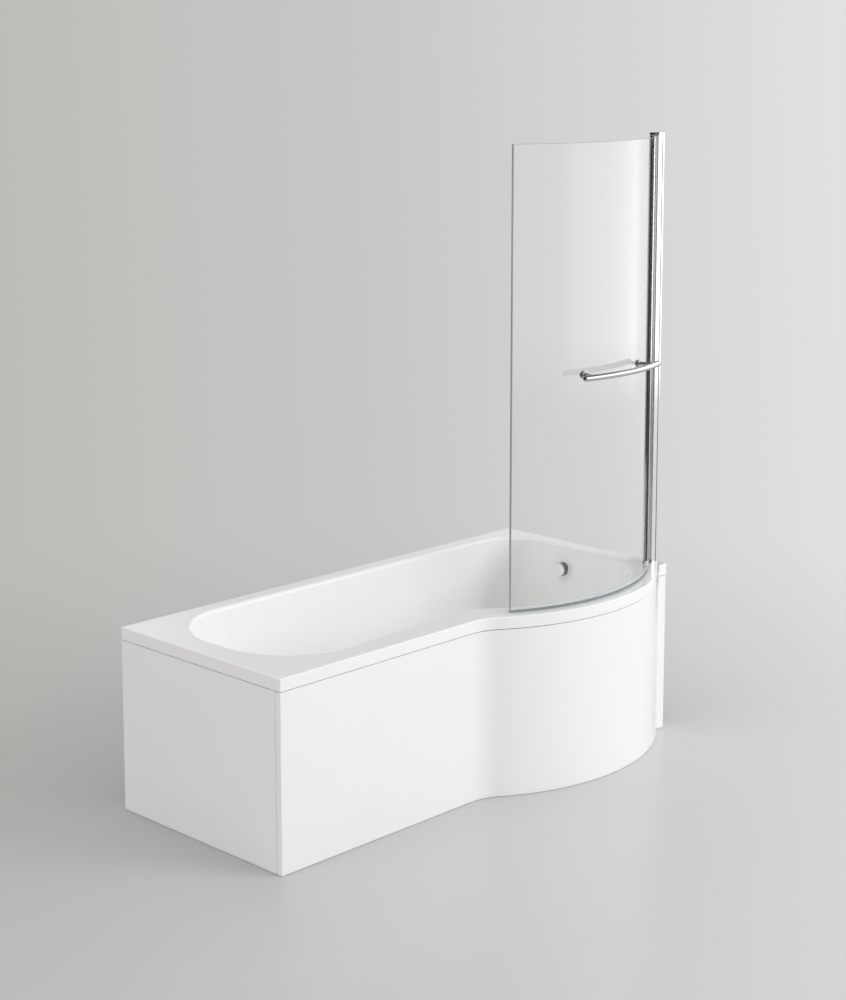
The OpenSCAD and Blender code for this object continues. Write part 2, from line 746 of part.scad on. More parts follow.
module waste_flange() {
    w = [waste_x, waste_y];
    bore = hole_r - 4;
    color("silver") place() {
        difference() {
            union() {
                rod(w, flange_r, recess_z, flange_top);
                rod(w, hole_r - 0.5, throat_foot, recess_z + 1);
            }
            rod(w, bore, throat_foot - 1, flange_top + 1);
        }
        difference() {
            union() {
                rod(w, plug_stem_r + 4, throat_foot, throat_foot + 14);
                for (a = [0, 90]) translate([waste_x, waste_y, throat_foot]) rotate([0, 0, a])
                    translate([-bore - 1, -2, 0]) cube([2 * bore + 2, 4, 6]);
            }
            rod(w, plug_stem_r + run, throat_foot - 1, throat_foot + 20);
        }
    }
}

module trap_nut() {
    w = [waste_x, waste_y];
    color("dimgray") place() difference() {
        rod(w, neck_r + 7, trap_top + 1, neck_top + 4);
        rod(w, neck_r + fit, trap_top, neck_top + air);
        rod(w, tail_r + fit, neck_top, neck_top + 5);
    }
}

module trap_cup() {
    w = [waste_x, waste_y];
    color("gainsboro") place() difference() {
        union() {
            rod(w, trap_r, trap_foot, trap_top);
            rod(w, neck_r, trap_top - 1, neck_top);
        }
        rod(w, trap_r - 3, trap_foot + 3, trap_top - 3);
        rod(w, tail_r + fit, trap_top - 4, neck_top + 1);
        translate([waste_x, waste_y, outlet_z]) rotate([-90, 0, 0])
            cylinder(r = spigot_r + fit, h = trap_r + 1);
    }
}

module trap_outlet() {
    color("gainsboro") place() translate([waste_x, waste_y + trap_r - spigot_l, outlet_z]) rotate([-90, 0, 0])
        difference() {
            union() {
                cylinder(r = spigot_r, h = spigot_l + 4);
                translate([0, 0, spigot_l + 2]) cylinder(r = outlet_r, h = outlet_l);
            }
            translate([0, 0, -1]) cylinder(r = outlet_r - 2.5, h = spigot_l + outlet_l + 5);
        }
}

// ---- control knob ----
module control_knob() {
    color("silver") place() at_overflow() difference() {
        union() {
            translate([0, 0, knob_z]) cylinder(r = knob_r, h = knob_l - 2);
            translate([0, 0, knob_z + knob_l - 2]) cylinder(r1 = knob_r, r2 = knob_r - 3, h = 2);
        }
        translate([0, 0, knob_z - 1]) cylinder(r = spindle_r + fit, h = knob_l - 3);
        translate([0, 0, knob_z + 5]) rotate([90, 0, 0]) cylinder(r = 2 + fit, h = knob_r + 1);
    }
}

module knob_spindle() {
    color("silver") place() at_overflow() translate([0, 0, cup_back + 5])
        cylinder(r = spindle_r, h = knob_z + knob_l - 4 - cup_back - 5);
}

module knob_screw() {
    color("silver") place() at_overflow() translate([0, -spindle_r - fit, knob_z + 5])
        rotate([90, 0, 0]) cylinder(r = 2, h = knob_r - spindle_r - 2);
}

// ---- pop-up plug ----
module popup_plug() {
    z0 = flange_top + air + ring_h;
    color("silver") place() {
        rod([waste_x, waste_y], plug_r, z0, z0 + 2);
        translate([waste_x, waste_y, z0 + 2]) cylinder(r1 = plug_r, r2 = plug_r - 6, h = 2);
    }
}

module plug_stem() {
    color("silver") place() rod([waste_x, waste_y], plug_stem_r, stem_foot, flange_top + air + ring_h);
}

module plug_ring() {
    color("black") place()
        pipe([waste_x, waste_y], plug_r - 2, hole_r - 3, flange_top + air, flange_top + air + ring_h);
}

// ---- wall frame of the screen ----
module wall_channel() {
    color("silver") place() difference() {
        translate([bath_length - channel_d, pivot_y - channel_w / 2, rim_height])
            cube([channel_d, channel_w, screen_height]);
        translate([bath_length - channel_d - 1, pivot_y - channel_w / 2 + channel_wall, rim_height - 1])
            cube([channel_d + 1 - channel_wall, channel_w - 2 * channel_wall, screen_height + 2]);
        for (z = wall_screw_zs) translate([bath_length - channel_wall - 1, pivot_y, z])
            rotate([0, 90, 0]) cylinder(r = screw_hole_r, h = channel_wall + 2);
        adjust_holes();
    }
}

// spots of the side screws: Z points into the channel's side, from its outer face
module adjust_spots() {
    for (z = adjust_zs) translate([profile_x + profile_d * 0.6, pivot_y + channel_w / 2, z])
        rotate([90, 0, 0]) children();
}

module adjust_holes() {
    adjust_spots() translate([0, 0, -1]) cylinder(r = adjust_r + fit, h = 3 * channel_wall);
}

module adjust_profile() {
    color("silver") place() difference() {
        translate([profile_x, pivot_y - profile_w / 2, profile_foot])
            cube([profile_d, profile_w, profile_head - profile_foot]);
        translate([profile_x + channel_wall, pivot_y - profile_w / 2 + channel_wall, profile_foot - 1])
            cube([profile_d - 2 * channel_wall, profile_w - 2 * channel_wall, screen_height + 2]);
        adjust_holes();
    }
}

module adjust_screws() {
    color("silver") place() adjust_spots() {
        translate([0, 0, -1]) cylinder(r = adjust_r, h = 2 * channel_wall + 4);
        translate([0, 0, -2]) cylinder(r = adjust_r * 2, h = 2);
    }
}

module channel_cap() {
    x0 = profile_x + profile_d + air;
    color("silver") place() translate([x0, pivot_y - profile_w / 2, frame_top - 10])
        cube([bath_length - channel_wall - air - x0, profile_w, 10]);
}

// a hinge end for the foot of the frame: a plate under the profile and the post, a plug that
// enters the profile, and the pivot pin
module hinge_end() {
    in = channel_wall + fit;
    color("silver") {
        cylinder(r = post_r, h = foot_plate);
        cylinder(r = pin_r, h = foot_plate + pin_l);
        translate([0, -profile_w / 2, 0]) cube([profile_x + profile_d - pivot_x, profile_w, foot_plate]);
        translate([profile_x - pivot_x + in, in - profile_w / 2, 0])
            cube([profile_d - 2 * in, profile_w - 2 * in, foot_plate + plug_in]);
    }
}

module hinge_foot() {
    place() translate([pivot_x, pivot_y, rim_height]) hinge_end();
}

module hinge_head() {
    place() translate([pivot_x, pivot_y, frame_top]) mirror([0, 0, 1]) hinge_end();
}

module post_seal() {
    color("dimgray") place() translate([pivot_x + post_r + air, pivot_y - 4, post_bottom])
        cube([profile_x - pivot_x - post_r - air, 8, post_top - post_bottom]);
}

// ---- swinging screen ----
module pivot_post() {
    color("silver") place() difference() {
        union() {
            rod([pivot_x, pivot_y], post_r, post_bottom, post_top);
            band(glass_mid - jaw_half, glass_mid + jaw_half, post_bottom + jaw_set, post_top - jaw_set,
                jaw_a, pivot_a - along(2));
        }
        rod([pivot_x, pivot_y], post_bore, post_bottom - 1, post_top + 1);
        band(glass_mid - slot_half, glass_mid + slot_half, post_bottom - 1, post_top + 1,
            jaw_a - 1, hinge_a + along(gasket_wall));
    }
}

module bush() {
    difference() {
        union() {
            cylinder(r = post_bore - fit, h = bush_l);
            translate([0, 0, -bush_lip]) cylinder(r = post_r - 1, h = bush_lip);
        }
        translate([0, 0, -bush_lip - 1]) cylinder(r = pin_r + run, h = bush_l + bush_lip + 2);
    }
}

module post_bushes() {
    color("white") place() translate([pivot_x, pivot_y, 0]) {
        translate([0, 0, post_bottom]) bush();
        translate([0, 0, post_top]) mirror([0, 0, 1]) bush();
    }
}

// the frame of a towel rail stem: Z points outwards from the bulge's centre
module at_stem(a) {
    translate([bulge_x, bulge_y, rail_z]) rotate([0, 0, a - 90]) rotate([0, 90, 0]) children();
}

module glass_pane() {
    color("lightcyan", 0.4) place() difference() {
        band(glass_radius - glass_thick, glass_radius, glass_bottom, glass_top, free_a, hinge_a);
        for (a = [stem_a, stem_b]) at_stem(a) translate([0, 0, glass_radius - glass_thick - 5])
            cylinder(r = glass_hole_r, h = glass_thick + 10);
    }
}

module glass_gasket() {
    color("dimgray") place() difference() {
        band(glass_mid - slot_half + fit, glass_mid + slot_half - fit, post_bottom, post_top,
            jaw_a, hinge_a + along(gasket_wall - fit));
        band(glass_mid - glass_half, glass_mid + glass_half, post_bottom - 1, post_top + 1,
            jaw_a - 1, hinge_a);
    }
}

module bottom_seal() {
    a1 = jaw_a - along(air);
    half = glass_half + seal_wall;
    lip_top = glass_bottom + seal_up;
    color("whitesmoke", 0.6) place() {
        difference() {
            band(glass_mid - half, glass_mid + half, glass_bottom - seal_wall, lip_top, free_a, a1);
            band(glass_mid - glass_half, glass_mid + glass_half, glass_bottom, lip_top + 1,
                free_a - 1, a1 + 1);
        }
        band(glass_mid - seal_wall, glass_mid + seal_wall, rim_height + air,
            glass_bottom - seal_wall / 2, free_a, a1);
    }
}

// ---- towel rail ----
module rail_bar() {
    a0 = stem_a - rail_over_a - 90;
    a1 = stem_b + rail_over_b - 90;
    stem_foot_r = glass_radius + washer_h;
    color("silver") place() difference() {
        union() {
            translate([bulge_x, bulge_y, rail_z]) rotate([0, 0, a0])
                rotate_extrude(angle = a1 - a0, $fn = 180) translate([rail_arc, 0]) circle(r = rail_r);
            for (a = [stem_a, stem_b]) at_stem(a) translate([0, 0, stem_foot_r])
                cylinder(r = stem_r, h = rail_arc - stem_foot_r);
        }
        for (a = [stem_a, stem_b]) at_stem(a) translate([0, 0, stem_foot_r - 1])
            cylinder(r = bolt_r + fit, h = bolt_in + 2);
    }
}

module rail_rosettes() {
    color("silver") place() for (a = [stem_a, stem_b]) at_stem(a) translate([0, 0, glass_radius + washer_h])
        difference() {
            union() {
                cylinder(r = rosette_r, h = 3);
                translate([0, 0, 3]) cylinder(r1 = rosette_r, r2 = rosette_r - 2, h = 1.5);
            }
            translate([0, 0, -1]) cylinder(r = stem_r + fit, h = 8);
        }
}

// a washer with a sleeve through the glass, and a washer under the bolt's head
module rail_washers() {
    inner = glass_radius - glass_thick - air;
    color("whitesmoke", 0.6) place() for (a = [stem_a, stem_b]) at_stem(a) difference() {
        union() {
            translate([0, 0, glass_radius]) cylinder(r = rosette_r - 1, h = washer_h);
            translate([0, 0, inner + fit]) cylinder(r = glass_hole_r - fit, h = glass_radius - inner);
            translate([0, 0, inner - washer_h]) cylinder(r = rosette_r - 1, h = washer_h);
        }
        translate([0, 0, inner - 2 * washer_h]) cylinder(r = bolt_r + fit, h = glass_thick + 4 * washer_h);
    }
}

module rail_bolts() {
    head = glass_radius - glass_thick - air - washer_h;
    color("silver") place() for (a = [stem_a, stem_b]) at_stem(a) {
        translate([0, 0, head - 6]) cylinder(r1 = rosette_r - 2, r2 = rosette_r, h = 2);
        translate([0, 0, head - 4]) cylinder(r = rosette_r, h = 4);
        translate([0, 0, head - 1]) cylinder(r = bolt_r, h = glass_radius + washer_h + bolt_in - head);
    }
}

bath_shell();
base_board();
rim_battens();
leg_channel_plain();
leg_channel_middle();
leg_channel_shower();
leg_screws();
foot_rods();
foot_nuts();
foot_pads();
wall_clips();
front_panel();
end_panel();
panel_battens();
panel_clips();
clip_screws();
overflow_body();
overflow_gasket();
overflow_rosette();
overflow_pipe();
pipe_elbow();
link_pipe();
lift_cable();
waste_body();
waste_gasket();
waste_flange();
trap_nut();
trap_cup();
trap_outlet();
wall_channel();
adjust_profile();
adjust_screws();
channel_cap();
hinge_foot();
hinge_head();
post_seal();
control_knob();
knob_spindle();
knob_screw();
popup_plug();
plug_stem();
plug_ring();
pivot_post();
post_bushes();
glass_pane();
glass_gasket();
bottom_seal();
rail_bar();
rail_rosettes();
rail_washers();
rail_bolts();
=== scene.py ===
import math
import bmesh
import bpy
import numpy as np
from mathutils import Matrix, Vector


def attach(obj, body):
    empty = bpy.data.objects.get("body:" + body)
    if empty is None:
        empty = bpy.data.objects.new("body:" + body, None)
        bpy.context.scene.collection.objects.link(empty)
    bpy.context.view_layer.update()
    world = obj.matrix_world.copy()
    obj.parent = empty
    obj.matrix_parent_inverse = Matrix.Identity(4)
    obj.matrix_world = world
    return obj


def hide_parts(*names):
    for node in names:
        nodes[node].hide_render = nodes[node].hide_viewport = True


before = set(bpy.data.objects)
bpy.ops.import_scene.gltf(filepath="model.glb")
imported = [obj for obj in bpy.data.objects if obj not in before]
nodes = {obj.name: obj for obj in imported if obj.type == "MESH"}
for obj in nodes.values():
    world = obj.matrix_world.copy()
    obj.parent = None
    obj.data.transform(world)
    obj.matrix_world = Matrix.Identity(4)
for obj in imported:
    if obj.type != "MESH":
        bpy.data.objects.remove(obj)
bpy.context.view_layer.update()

quarter = math.pi / 2

# The plan is in millimetres, from the plain end's front corner.
bath = dict(length=1700, width=700, rim=560, lip=37, lipWall=6, round=3, corner=4, bulge=677,
            bulgeX=1237, bulgeY=527, waist=150, strip=10, side=200, originX=850, originY=261.25)
basin = dict(plain=82, front=72, waist=109, back=45, shower=58, arc=592, arcX=1257, plainR=250,
             showerR=270, backR=130, waistR=80, roll=12, rest=0.5, slope=0.12, footRound=75,
             footRun=75, restRun=110, wall=6, floor=165, fall=6, under=155)
waste = dict(x=1370, y=378, hole=26, recess=48, recessZ=163, seat=14)


# helpers for shapes
def inMetres(points):
    # plan millimetres, less the middle of the whole object, over a thousand
    return (np.asarray(points, float) - [bath["originX"], bath["originY"], 0]) / 1000


def newObject(name, data):
    # an object at the origin, linked into the scene
    made = bpy.data.objects.new(name, data)
    bpy.context.scene.collection.objects.link(made)
    return made


def finishMesh(name, points, faces, sharp, slots=None):
    # faces that hold a negative volume look inward, so all of them turn round; edges that bend by
    # more than the sharp angle stay crisp
    mesh = bpy.data.meshes.new(name)
    mesh.from_pydata(points.tolist(), [], faces)
    if slots is not None:
        mesh.polygons.foreach_set("material_index", np.asarray(slots, np.int32))
    work = bmesh.new()
    work.from_mesh(mesh)
    if work.calc_volume(signed=True) < 0:
        bmesh.ops.reverse_faces(work, faces=work.faces)
    work.to_mesh(mesh)
    work.free()
    mesh.shade_smooth()
    mesh.set_sharp_from_angle(angle=math.radians(sharp))
    return mesh


def gridFaces(rows, cols, loopRows=False, loopCols=True, caps=False):
    # each point of the grid joins the next in its row and in its column; caps close both ends
    i = np.arange(rows if loopRows else rows - 1)
    j = np.arange(cols if loopCols else cols - 1)
    a, b = np.meshgrid(i, j, indexing="ij")
    c, d = (a + 1) % rows, (b + 1) % cols
    quads = np.stack([a * cols + b, a * cols + d, c * cols + d, c * cols + b], -1)
    faces = quads.reshape(-1, 4).tolist()
    if caps:
        faces.append(list(range(cols))[::-1])
        faces.append(list(range((rows - 1) * cols, rows * cols)))
    return faces


def gridMesh(name, grid, sharp, slots=None, loopRows=False):
    # rows of points become a closed surface: the last row joins the first one, or both get a cap
    faces = gridFaces(*grid.shape[:2], loopRows=loopRows, caps=not loopRows)
    return finishMesh(name, grid.reshape(-1, 3), faces, sharp, slots)


def addPiece(mesh, body, slotName, materials, *replaced):
    # the mesh becomes a piece of the body; wide faces keep their direction, and only the narrow
    # ones beside them bend the shading
    piece = newObject(mesh.name, mesh)
    for material in materials:
        mesh.materials.append(material)
    shading = piece.modifiers.new("evenShading", "WEIGHTED_NORMAL")
    shading.keep_sharp = True
    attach(piece, body)
    if replaced:
        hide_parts(*replaced)
    return piece


def arcRow(cx, cy, r, a0, a1, count, ends=True):
    # centre + radius * (cosine, sine) from one angle to the other, with or without both end points;
    # what has a value for each row of points gives as many rows, and the rest is shared by them
    t = np.linspace(0, 1, count) if ends else np.linspace(0, 1, count + 2)[1:-1]
    cx, cy, r, a0, a1 = (np.atleast_1d(np.asarray(v, float))[:, None] for v in (cx, cy, r, a0, a1))
    a = a0 + (a1 - a0) * t
    return np.stack([cx + r * np.cos(a), cy + r * np.sin(a)], -1)


def lineRow(p, q, count):
    # points strictly between p and q, evenly spaced
    t = (np.arange(count) + 1) / (count + 1)
    return p[:, None] + (q - p)[:, None] * t[None, :, None]


def outlineRow(*parts):
    # arcs one after the other; a number between two stands for so many points on the straight line
    # that joins them, and a last number leads back to the first arc
    rows = []
    for k, part in enumerate(parts):
        if isinstance(part, int):
            part = lineRow(parts[k - 1][:, -1], parts[(k + 1) % len(parts)][:, 0], part)
        rows.append(part)
    return np.concatenate(rows, 1)


def turned(centre, axis, radius, height, count):
    # centre + radius * (cosine * side + sine * across) + height * axis, lengths in millimetres;
    # the radius has a row for each height, and may change with the angle along it
    axis = np.asarray(axis, float) / np.linalg.norm(axis)
    side = np.cross(axis, [0.0, 0.0, 1.0] if abs(axis[2]) < 0.9 else [1.0, 0.0, 0.0])
    side /= np.linalg.norm(side)
    across = np.cross(axis, side)
    a = np.arange(count) * 2 * math.pi / count
    ring = np.cos(a)[:, None] * side + np.sin(a)[:, None] * across
    return centre + (radius[..., None] * ring + height[:, None, None] * axis) / 1000


def turnedMesh(name, spots, profile, count=96, sharp=32, ring=False):
    # the profile's (radius, height) points go round the axis of each spot; a ring's profile stays
    # off the axis and meets itself, and any other one gets a cap at both ends
    r, h = np.asarray(profile, float).T
    one = gridFaces(len(r), count, loopRows=ring, caps=not ring)
    points = np.concatenate([turned(*spot, r[:, None], h, count).reshape(-1, 3) for spot in spots])
    faces = [[v + k * len(r) * count for v in face] for k in range(len(spots)) for face in one]
    return finishMesh(name, points, faces, sharp)


def roundedPath(corners, radii, steps, closed=True):
    # each corner of the outline gives way to a small arc that touches both of its sides
    corners = np.asarray(corners, float)
    out = []
    n = len(corners)
    for k in range(n):
        p, radius = corners[k], radii[k] if np.ndim(radii) else radii
        if (not closed and k in (0, n - 1)) or radius == 0:
            out.append(p[None])
            continue
        u, v = corners[k - 1] - p, corners[(k + 1) % n] - p
        u, v = u / np.linalg.norm(u), v / np.linalg.norm(v)
        half = math.acos(max(-1, min(1, float(u @ v)))) / 2
        reach = radius / math.tan(half)
        centre = p + (u + v) / np.linalg.norm(u + v) * radius / math.sin(half)
        a, b = p + u * reach - centre, p + v * reach - centre
        angle = math.pi - 2 * half
        t = np.linspace(0, 1, steps)[:, None]
        out.append(centre + (np.sin((1 - t) * angle) * a + np.sin(t * angle) * b) / math.sin(angle))
    return np.concatenate(out)


# helpers for materials
def feed(tree, node, inputs):
    # each input takes a fixed value or another node's output
    for socket, value in inputs.items():
        if isinstance(value, bpy.types.NodeSocket):
            tree.links.new(value, node.inputs[socket])
        else:
            node.inputs[socket].default_value = value


def nodeOn(tree, kind, inputs=None, **settings):
    # a new shader node, its settings first, because they decide which inputs it has
    node = tree.nodes.new("ShaderNode" + kind)
    for key, value in settings.items():
        setattr(node, key, value)
    feed(tree, node, inputs or {})
    return node


def mathOn(tree, operation, a, b, clamp=False):
    # a and b go through the operation; the clamp holds the result between 0 and 1
    return nodeOn(tree, "Math", {0: a, 1: b}, operation=operation, use_clamp=clamp).outputs[0]


def mixOn(tree, share, a, b, blend="MIX"):
    # a + share * (b - a), or a * b where the blend is MULTIPLY and the share is 1
    inputs = {"Factor": share, "A": a, "B": b}
    return nodeOn(tree, "Mix", inputs, data_type="RGBA", blend_type=blend).outputs["Result"]


def distanceOn(tree, vector):
    # the square root of the vector's squares
    return nodeOn(tree, "VectorMath", {0: vector}, operation="LENGTH").outputs["Value"]


def noiseOn(tree, scale, detail=4, stretch=(1, 1, 1), kind="TexNoise"):
    # a noise pattern on the piece's own coordinates, stretched along its axes
    spot = nodeOn(tree, "TexCoord").outputs["Object"]
    spot = nodeOn(tree, "Mapping", {"Vector": spot, "Scale": stretch}).outputs["Vector"]
    return nodeOn(tree, kind, {"Vector": spot, "Scale": scale, "Detail": detail}).outputs


def rampOn(tree, source, stops):
    # the pattern's value picks a colour between the stops
    ramp = nodeOn(tree, "ValToRGB", {"Fac": source})
    marks = ramp.color_ramp.elements
    for k, (position, color) in ((0, stops[0]), (1, stops[-1])):
        marks[k].position, marks[k].color = position, (*color, 1)
    for position, color in stops[1:-1]:
        marks.new(position).color = (*color, 1)
    return ramp.outputs["Color"]


def greys(*stops):
    # (position, level) pairs become stops of a ramp
    return [(position, (level,) * 3) for position, level in stops]


def rangeOn(tree, source, low, high, fromLow=0.3, fromHigh=0.7, way="LINEAR"):
    # the pattern's value between the two from values is spread evenly between low and high
    inputs = {"Value": source, "From Min": fromLow, "From Max": fromHigh, "To Min": low, "To Max": high}
    return nodeOn(tree, "MapRange", inputs, interpolation_type=way).outputs["Result"]


def bumpOn(tree, shader, source, strength, distance):
    # the pattern's value tilts the shading as if it stood up by the distance, in metres
    bump = nodeOn(tree, "Bump", {"Height": source, "Strength": strength, "Distance": distance})
    feed(tree, shader, {"Normal": bump.outputs["Normal"]})


def newMaterial(name, color, roughness, metallic=0.0, coat=0.0, ior=1.5):
    # a plain material: one colour, one roughness, and what is the same all over the surface
    material = bpy.data.materials.new(name)
    material.use_nodes = True
    tree = material.node_tree
    shader = tree.nodes["Principled BSDF"]
    feed(tree, shader, {"Base Color": (*color, 1), "Roughness": roughness, "Metallic": metallic,
                        "Coat Weight": coat, "IOR": ior})
    return material, tree, shader


def surface(name, low, high, roughLow, roughHigh, scale, bump, bumpScale, metallic=0.0, coat=0.0,
            ior=1.5, depth=0.0002):
    # colour and roughness drift between two values with a soft noise; a finer noise gives the bump
    material, tree, shader = newMaterial(name, low, roughLow, metallic, coat, ior)
    drift = noiseOn(tree, scale, 5)["Fac"]
    feed(tree, shader, {"Base Color": rampOn(tree, drift, [(0.3, low), (0.7, high)]),
                        "Roughness": rangeOn(tree, drift, roughLow, roughHigh)})
    bumpOn(tree, shader, noiseOn(tree, bumpScale, 3)["Fac"], bump, depth)
    return material


acrylic = surface("glossAcrylic", (0.915, 0.915, 0.912), (0.925, 0.925, 0.922), 0.07, 0.12, 3.0,
                  0.02, 35.0, coat=0.25, ior=1.49, depth=0.0004)
panelAcrylic = surface("glossPanel", (0.9, 0.9, 0.897), (0.915, 0.915, 0.912), 0.1, 0.16, 2.5,
                       0.03, 18.0, coat=0.2, ior=1.49, depth=0.0006)
chrome = surface("polishedChrome", (0.79, 0.8, 0.81), (0.83, 0.84, 0.85), 0.05, 0.1, 40.0,
                 0.002, 200.0, metallic=1.0)
# a darker copy of the polished chrome for the rail, its stems, roses and bolt heads: painted shade that
# dims their reflections
railChromeShaded = surface("railChromeShaded", (0.48, 0.485, 0.49), (0.52, 0.525, 0.53), 0.06, 0.12, 40.0,
                     0.002, 200.0, metallic=1.0)
# a near-black copy of the chrome for the knob's ribbed side: the ribs are real, the dark colour is
# painted shade
ribbedShade = surface("ribbedShadedChrome", (0.1, 0.1, 0.103), (0.14, 0.14, 0.143), 0.2, 0.3, 60.0,
                 0.03, 900.0, metallic=1.0)
darkPlastic = surface("blackMouldedPlastic", (0.02, 0.02, 0.021), (0.035, 0.035, 0.036), 0.38, 0.52,
                      60.0, 0.25, 1800.0)
rubber = surface("blackRubber", (0.015, 0.015, 0.015), (0.03, 0.03, 0.03), 0.6, 0.75, 90.0, 0.2, 1500.0)
greySeal = surface("greySeal", (0.16, 0.165, 0.17), (0.22, 0.225, 0.23), 0.45, 0.6, 70.0, 0.15, 1200.0)
whitePipe = surface("whiteWastePipe", (0.74, 0.74, 0.72), (0.8, 0.8, 0.78), 0.32, 0.45, 30.0,
                    0.12, 700.0)
nylon = surface("naturalNylon", (0.72, 0.71, 0.66), (0.78, 0.77, 0.72), 0.4, 0.5, 80.0, 0.1, 900.0)
brass = surface("turnedBrass", (0.62, 0.46, 0.2), (0.72, 0.56, 0.28), 0.2, 0.34, 120.0, 0.1, 1500.0,
                metallic=1.0)


def zincSteel():
    # small flat crystals of two greys, and a soft noise for the roughness
    material, tree, shader = newMaterial("zincPlatedSteel", (0.5, 0.51, 0.52), 0.3, 1.0)
    cells = noiseOn(tree, 160, kind="TexVoronoi")["Distance"]
    tones = [(0.0, (0.42, 0.43, 0.45)), (0.6, (0.56, 0.57, 0.585))]
    feed(tree, shader, {"Base Color": rampOn(tree, cells, tones),
                        "Roughness": rangeOn(tree, noiseOn(tree, 25, 5)["Fac"], 0.22, 0.42)})
    bumpOn(tree, shader, cells, 0.05, 0.0002)
    return material


def fibreBack():
    # chopped strands pressed in resin: long thin cells in two directions over a milky ground
    material, tree, shader = newMaterial("fibreBack", (0.7, 0.68, 0.6), 0.5)
    strands = mathOn(tree, "MULTIPLY", noiseOn(tree, 60, 3, (1, 9, 4))["Fac"],
                     noiseOn(tree, 70, 3, (8, 1, 5))["Fac"])
    tones = [(0.12, (0.5, 0.49, 0.42)), (0.26, (0.72, 0.71, 0.64)), (0.4, (0.82, 0.81, 0.76))]
    feed(tree, shader, {"Base Color": rampOn(tree, strands, tones),
                        "Roughness": rangeOn(tree, strands, 0.35, 0.65, 0.1, 0.4)})
    bumpOn(tree, shader, strands, 0.5, 0.0015)
    return material


def chipboard():
    # pressed chips: flat cells of mixed browns under a thin clear resin
    material, tree, shader = newMaterial("resinChipboard", (0.5, 0.38, 0.24), 0.45, coat=0.15)
    chips = noiseOn(tree, 190, stretch=(1, 1.6, 3), kind="TexVoronoi")
    tones = [(0.1, (0.33, 0.23, 0.13)), (0.5, (0.5, 0.37, 0.22)), (0.9, (0.66, 0.52, 0.34))]
    feed(tree, shader, {"Base Color": rampOn(tree, chips["Color"], tones),
                        "Roughness": rangeOn(tree, noiseOn(tree, 700)["Fac"], 0.38, 0.6)})
    bumpOn(tree, shader, chips["Distance"], 0.25, 0.0006)
    return material


def pineWood():
    # noise drawn out along the batten: long bands of early and late wood
    material, tree, shader = newMaterial("pineAlong", (0.66, 0.5, 0.31), 0.5)
    along = (0.12, 1, 1)
    bands, fibres = noiseOn(tree, 34, 6, along)["Fac"], noiseOn(tree, 420, 3, along)["Fac"]
    tones = [(0.35, (0.72, 0.57, 0.37)), (0.5, (0.63, 0.46, 0.27)), (0.56, (0.5, 0.33, 0.17)),
             (0.6, (0.68, 0.52, 0.32))]
    feed(tree, shader, {"Base Color": rampOn(tree, bands, tones),
                        "Roughness": rangeOn(tree, fibres, 0.42, 0.62)})
    bumpOn(tree, shader, fibres, 0.3, 0.0005)
    return material


def clearGlass():
    # clear polished glass with a slight cool tint that drifts a little over the sheet
    material, tree, shader = newMaterial("clearGlass", (0.955, 0.96, 0.958), 0.0)
    drift = noiseOn(tree, 1.5, 2)["Fac"]
    tones = [(0.3, (0.952, 0.958, 0.956)), (0.7, (0.958, 0.962, 0.96))]
    feed(tree, shader, {"Transmission Weight": 1.0, "Base Color": rampOn(tree, drift, tones)})
    return material


def glassEdge():
    # the polished edge shows the glass in its depth: a middle grey with a little green
    material, tree, shader = newMaterial("glassEdge", (0.27, 0.29, 0.29), 0.12, coat=0.4)
    bands = noiseOn(tree, 14, 3, (1, 1, 0.2))["Fac"]
    feed(tree, shader, {"Base Color": rampOn(tree, bands, [(0.3, (0.24, 0.26, 0.26)),
                                                           (0.7, (0.3, 0.32, 0.32))])})
    return material


def clearVinyl(name, mesh):
    # soft clear vinyl by its height on the piece, as a share of the way from its foot to its top: darker
    # and half solid under the glass's edge, nearly clear along it, paler and solid at the lip
    material, tree, shader = newMaterial(name, (0.6, 0.65, 0.67), 0.2, ior=1.45)
    points = np.empty(len(mesh.vertices) * 3)
    mesh.vertices.foreach_get("co", points)
    foot, top = float(points[2::3].min()), float(points[2::3].max())
    spot = nodeOn(tree, "TexCoord").outputs["Object"]
    height = nodeOn(tree, "SeparateXYZ", {"Vector": spot}).outputs["Z"]
    share = rangeOn(tree, height, 0.0, 1.0, foot, top)
    tones = [(0.0, (0.3, 0.36, 0.38)), (0.42, (0.24, 0.3, 0.32)), (0.52, (0.8, 0.83, 0.84)),
             (1.0, (0.88, 0.9, 0.91))]
    solid = greys((0.0, 0.3), (0.3, 0.65), (0.42, 0.7), (0.5, 0.15), (0.85, 0.15), (1.0, 0.7))
    lines = noiseOn(tree, 50, 4, (1, 1, 12))["Fac"]
    feed(tree, shader, {"Base Color": rampOn(tree, share, tones), "Alpha": rampOn(tree, share, solid),
                        "Roughness": rangeOn(tree, lines, 0.15, 0.3)})
    return material


zinc, resinBack, board, pine = zincSteel(), fibreBack(), chipboard(), pineWood()
glass, edgeGlass = clearGlass(), glassEdge()
print("materials made")


# bath shell: the points on each part of its outlines, so that all of them match one another
parts = dict(plain=60, front=30, waist=40, bulge=120, shower=60, end=10, back=50, rear=40)


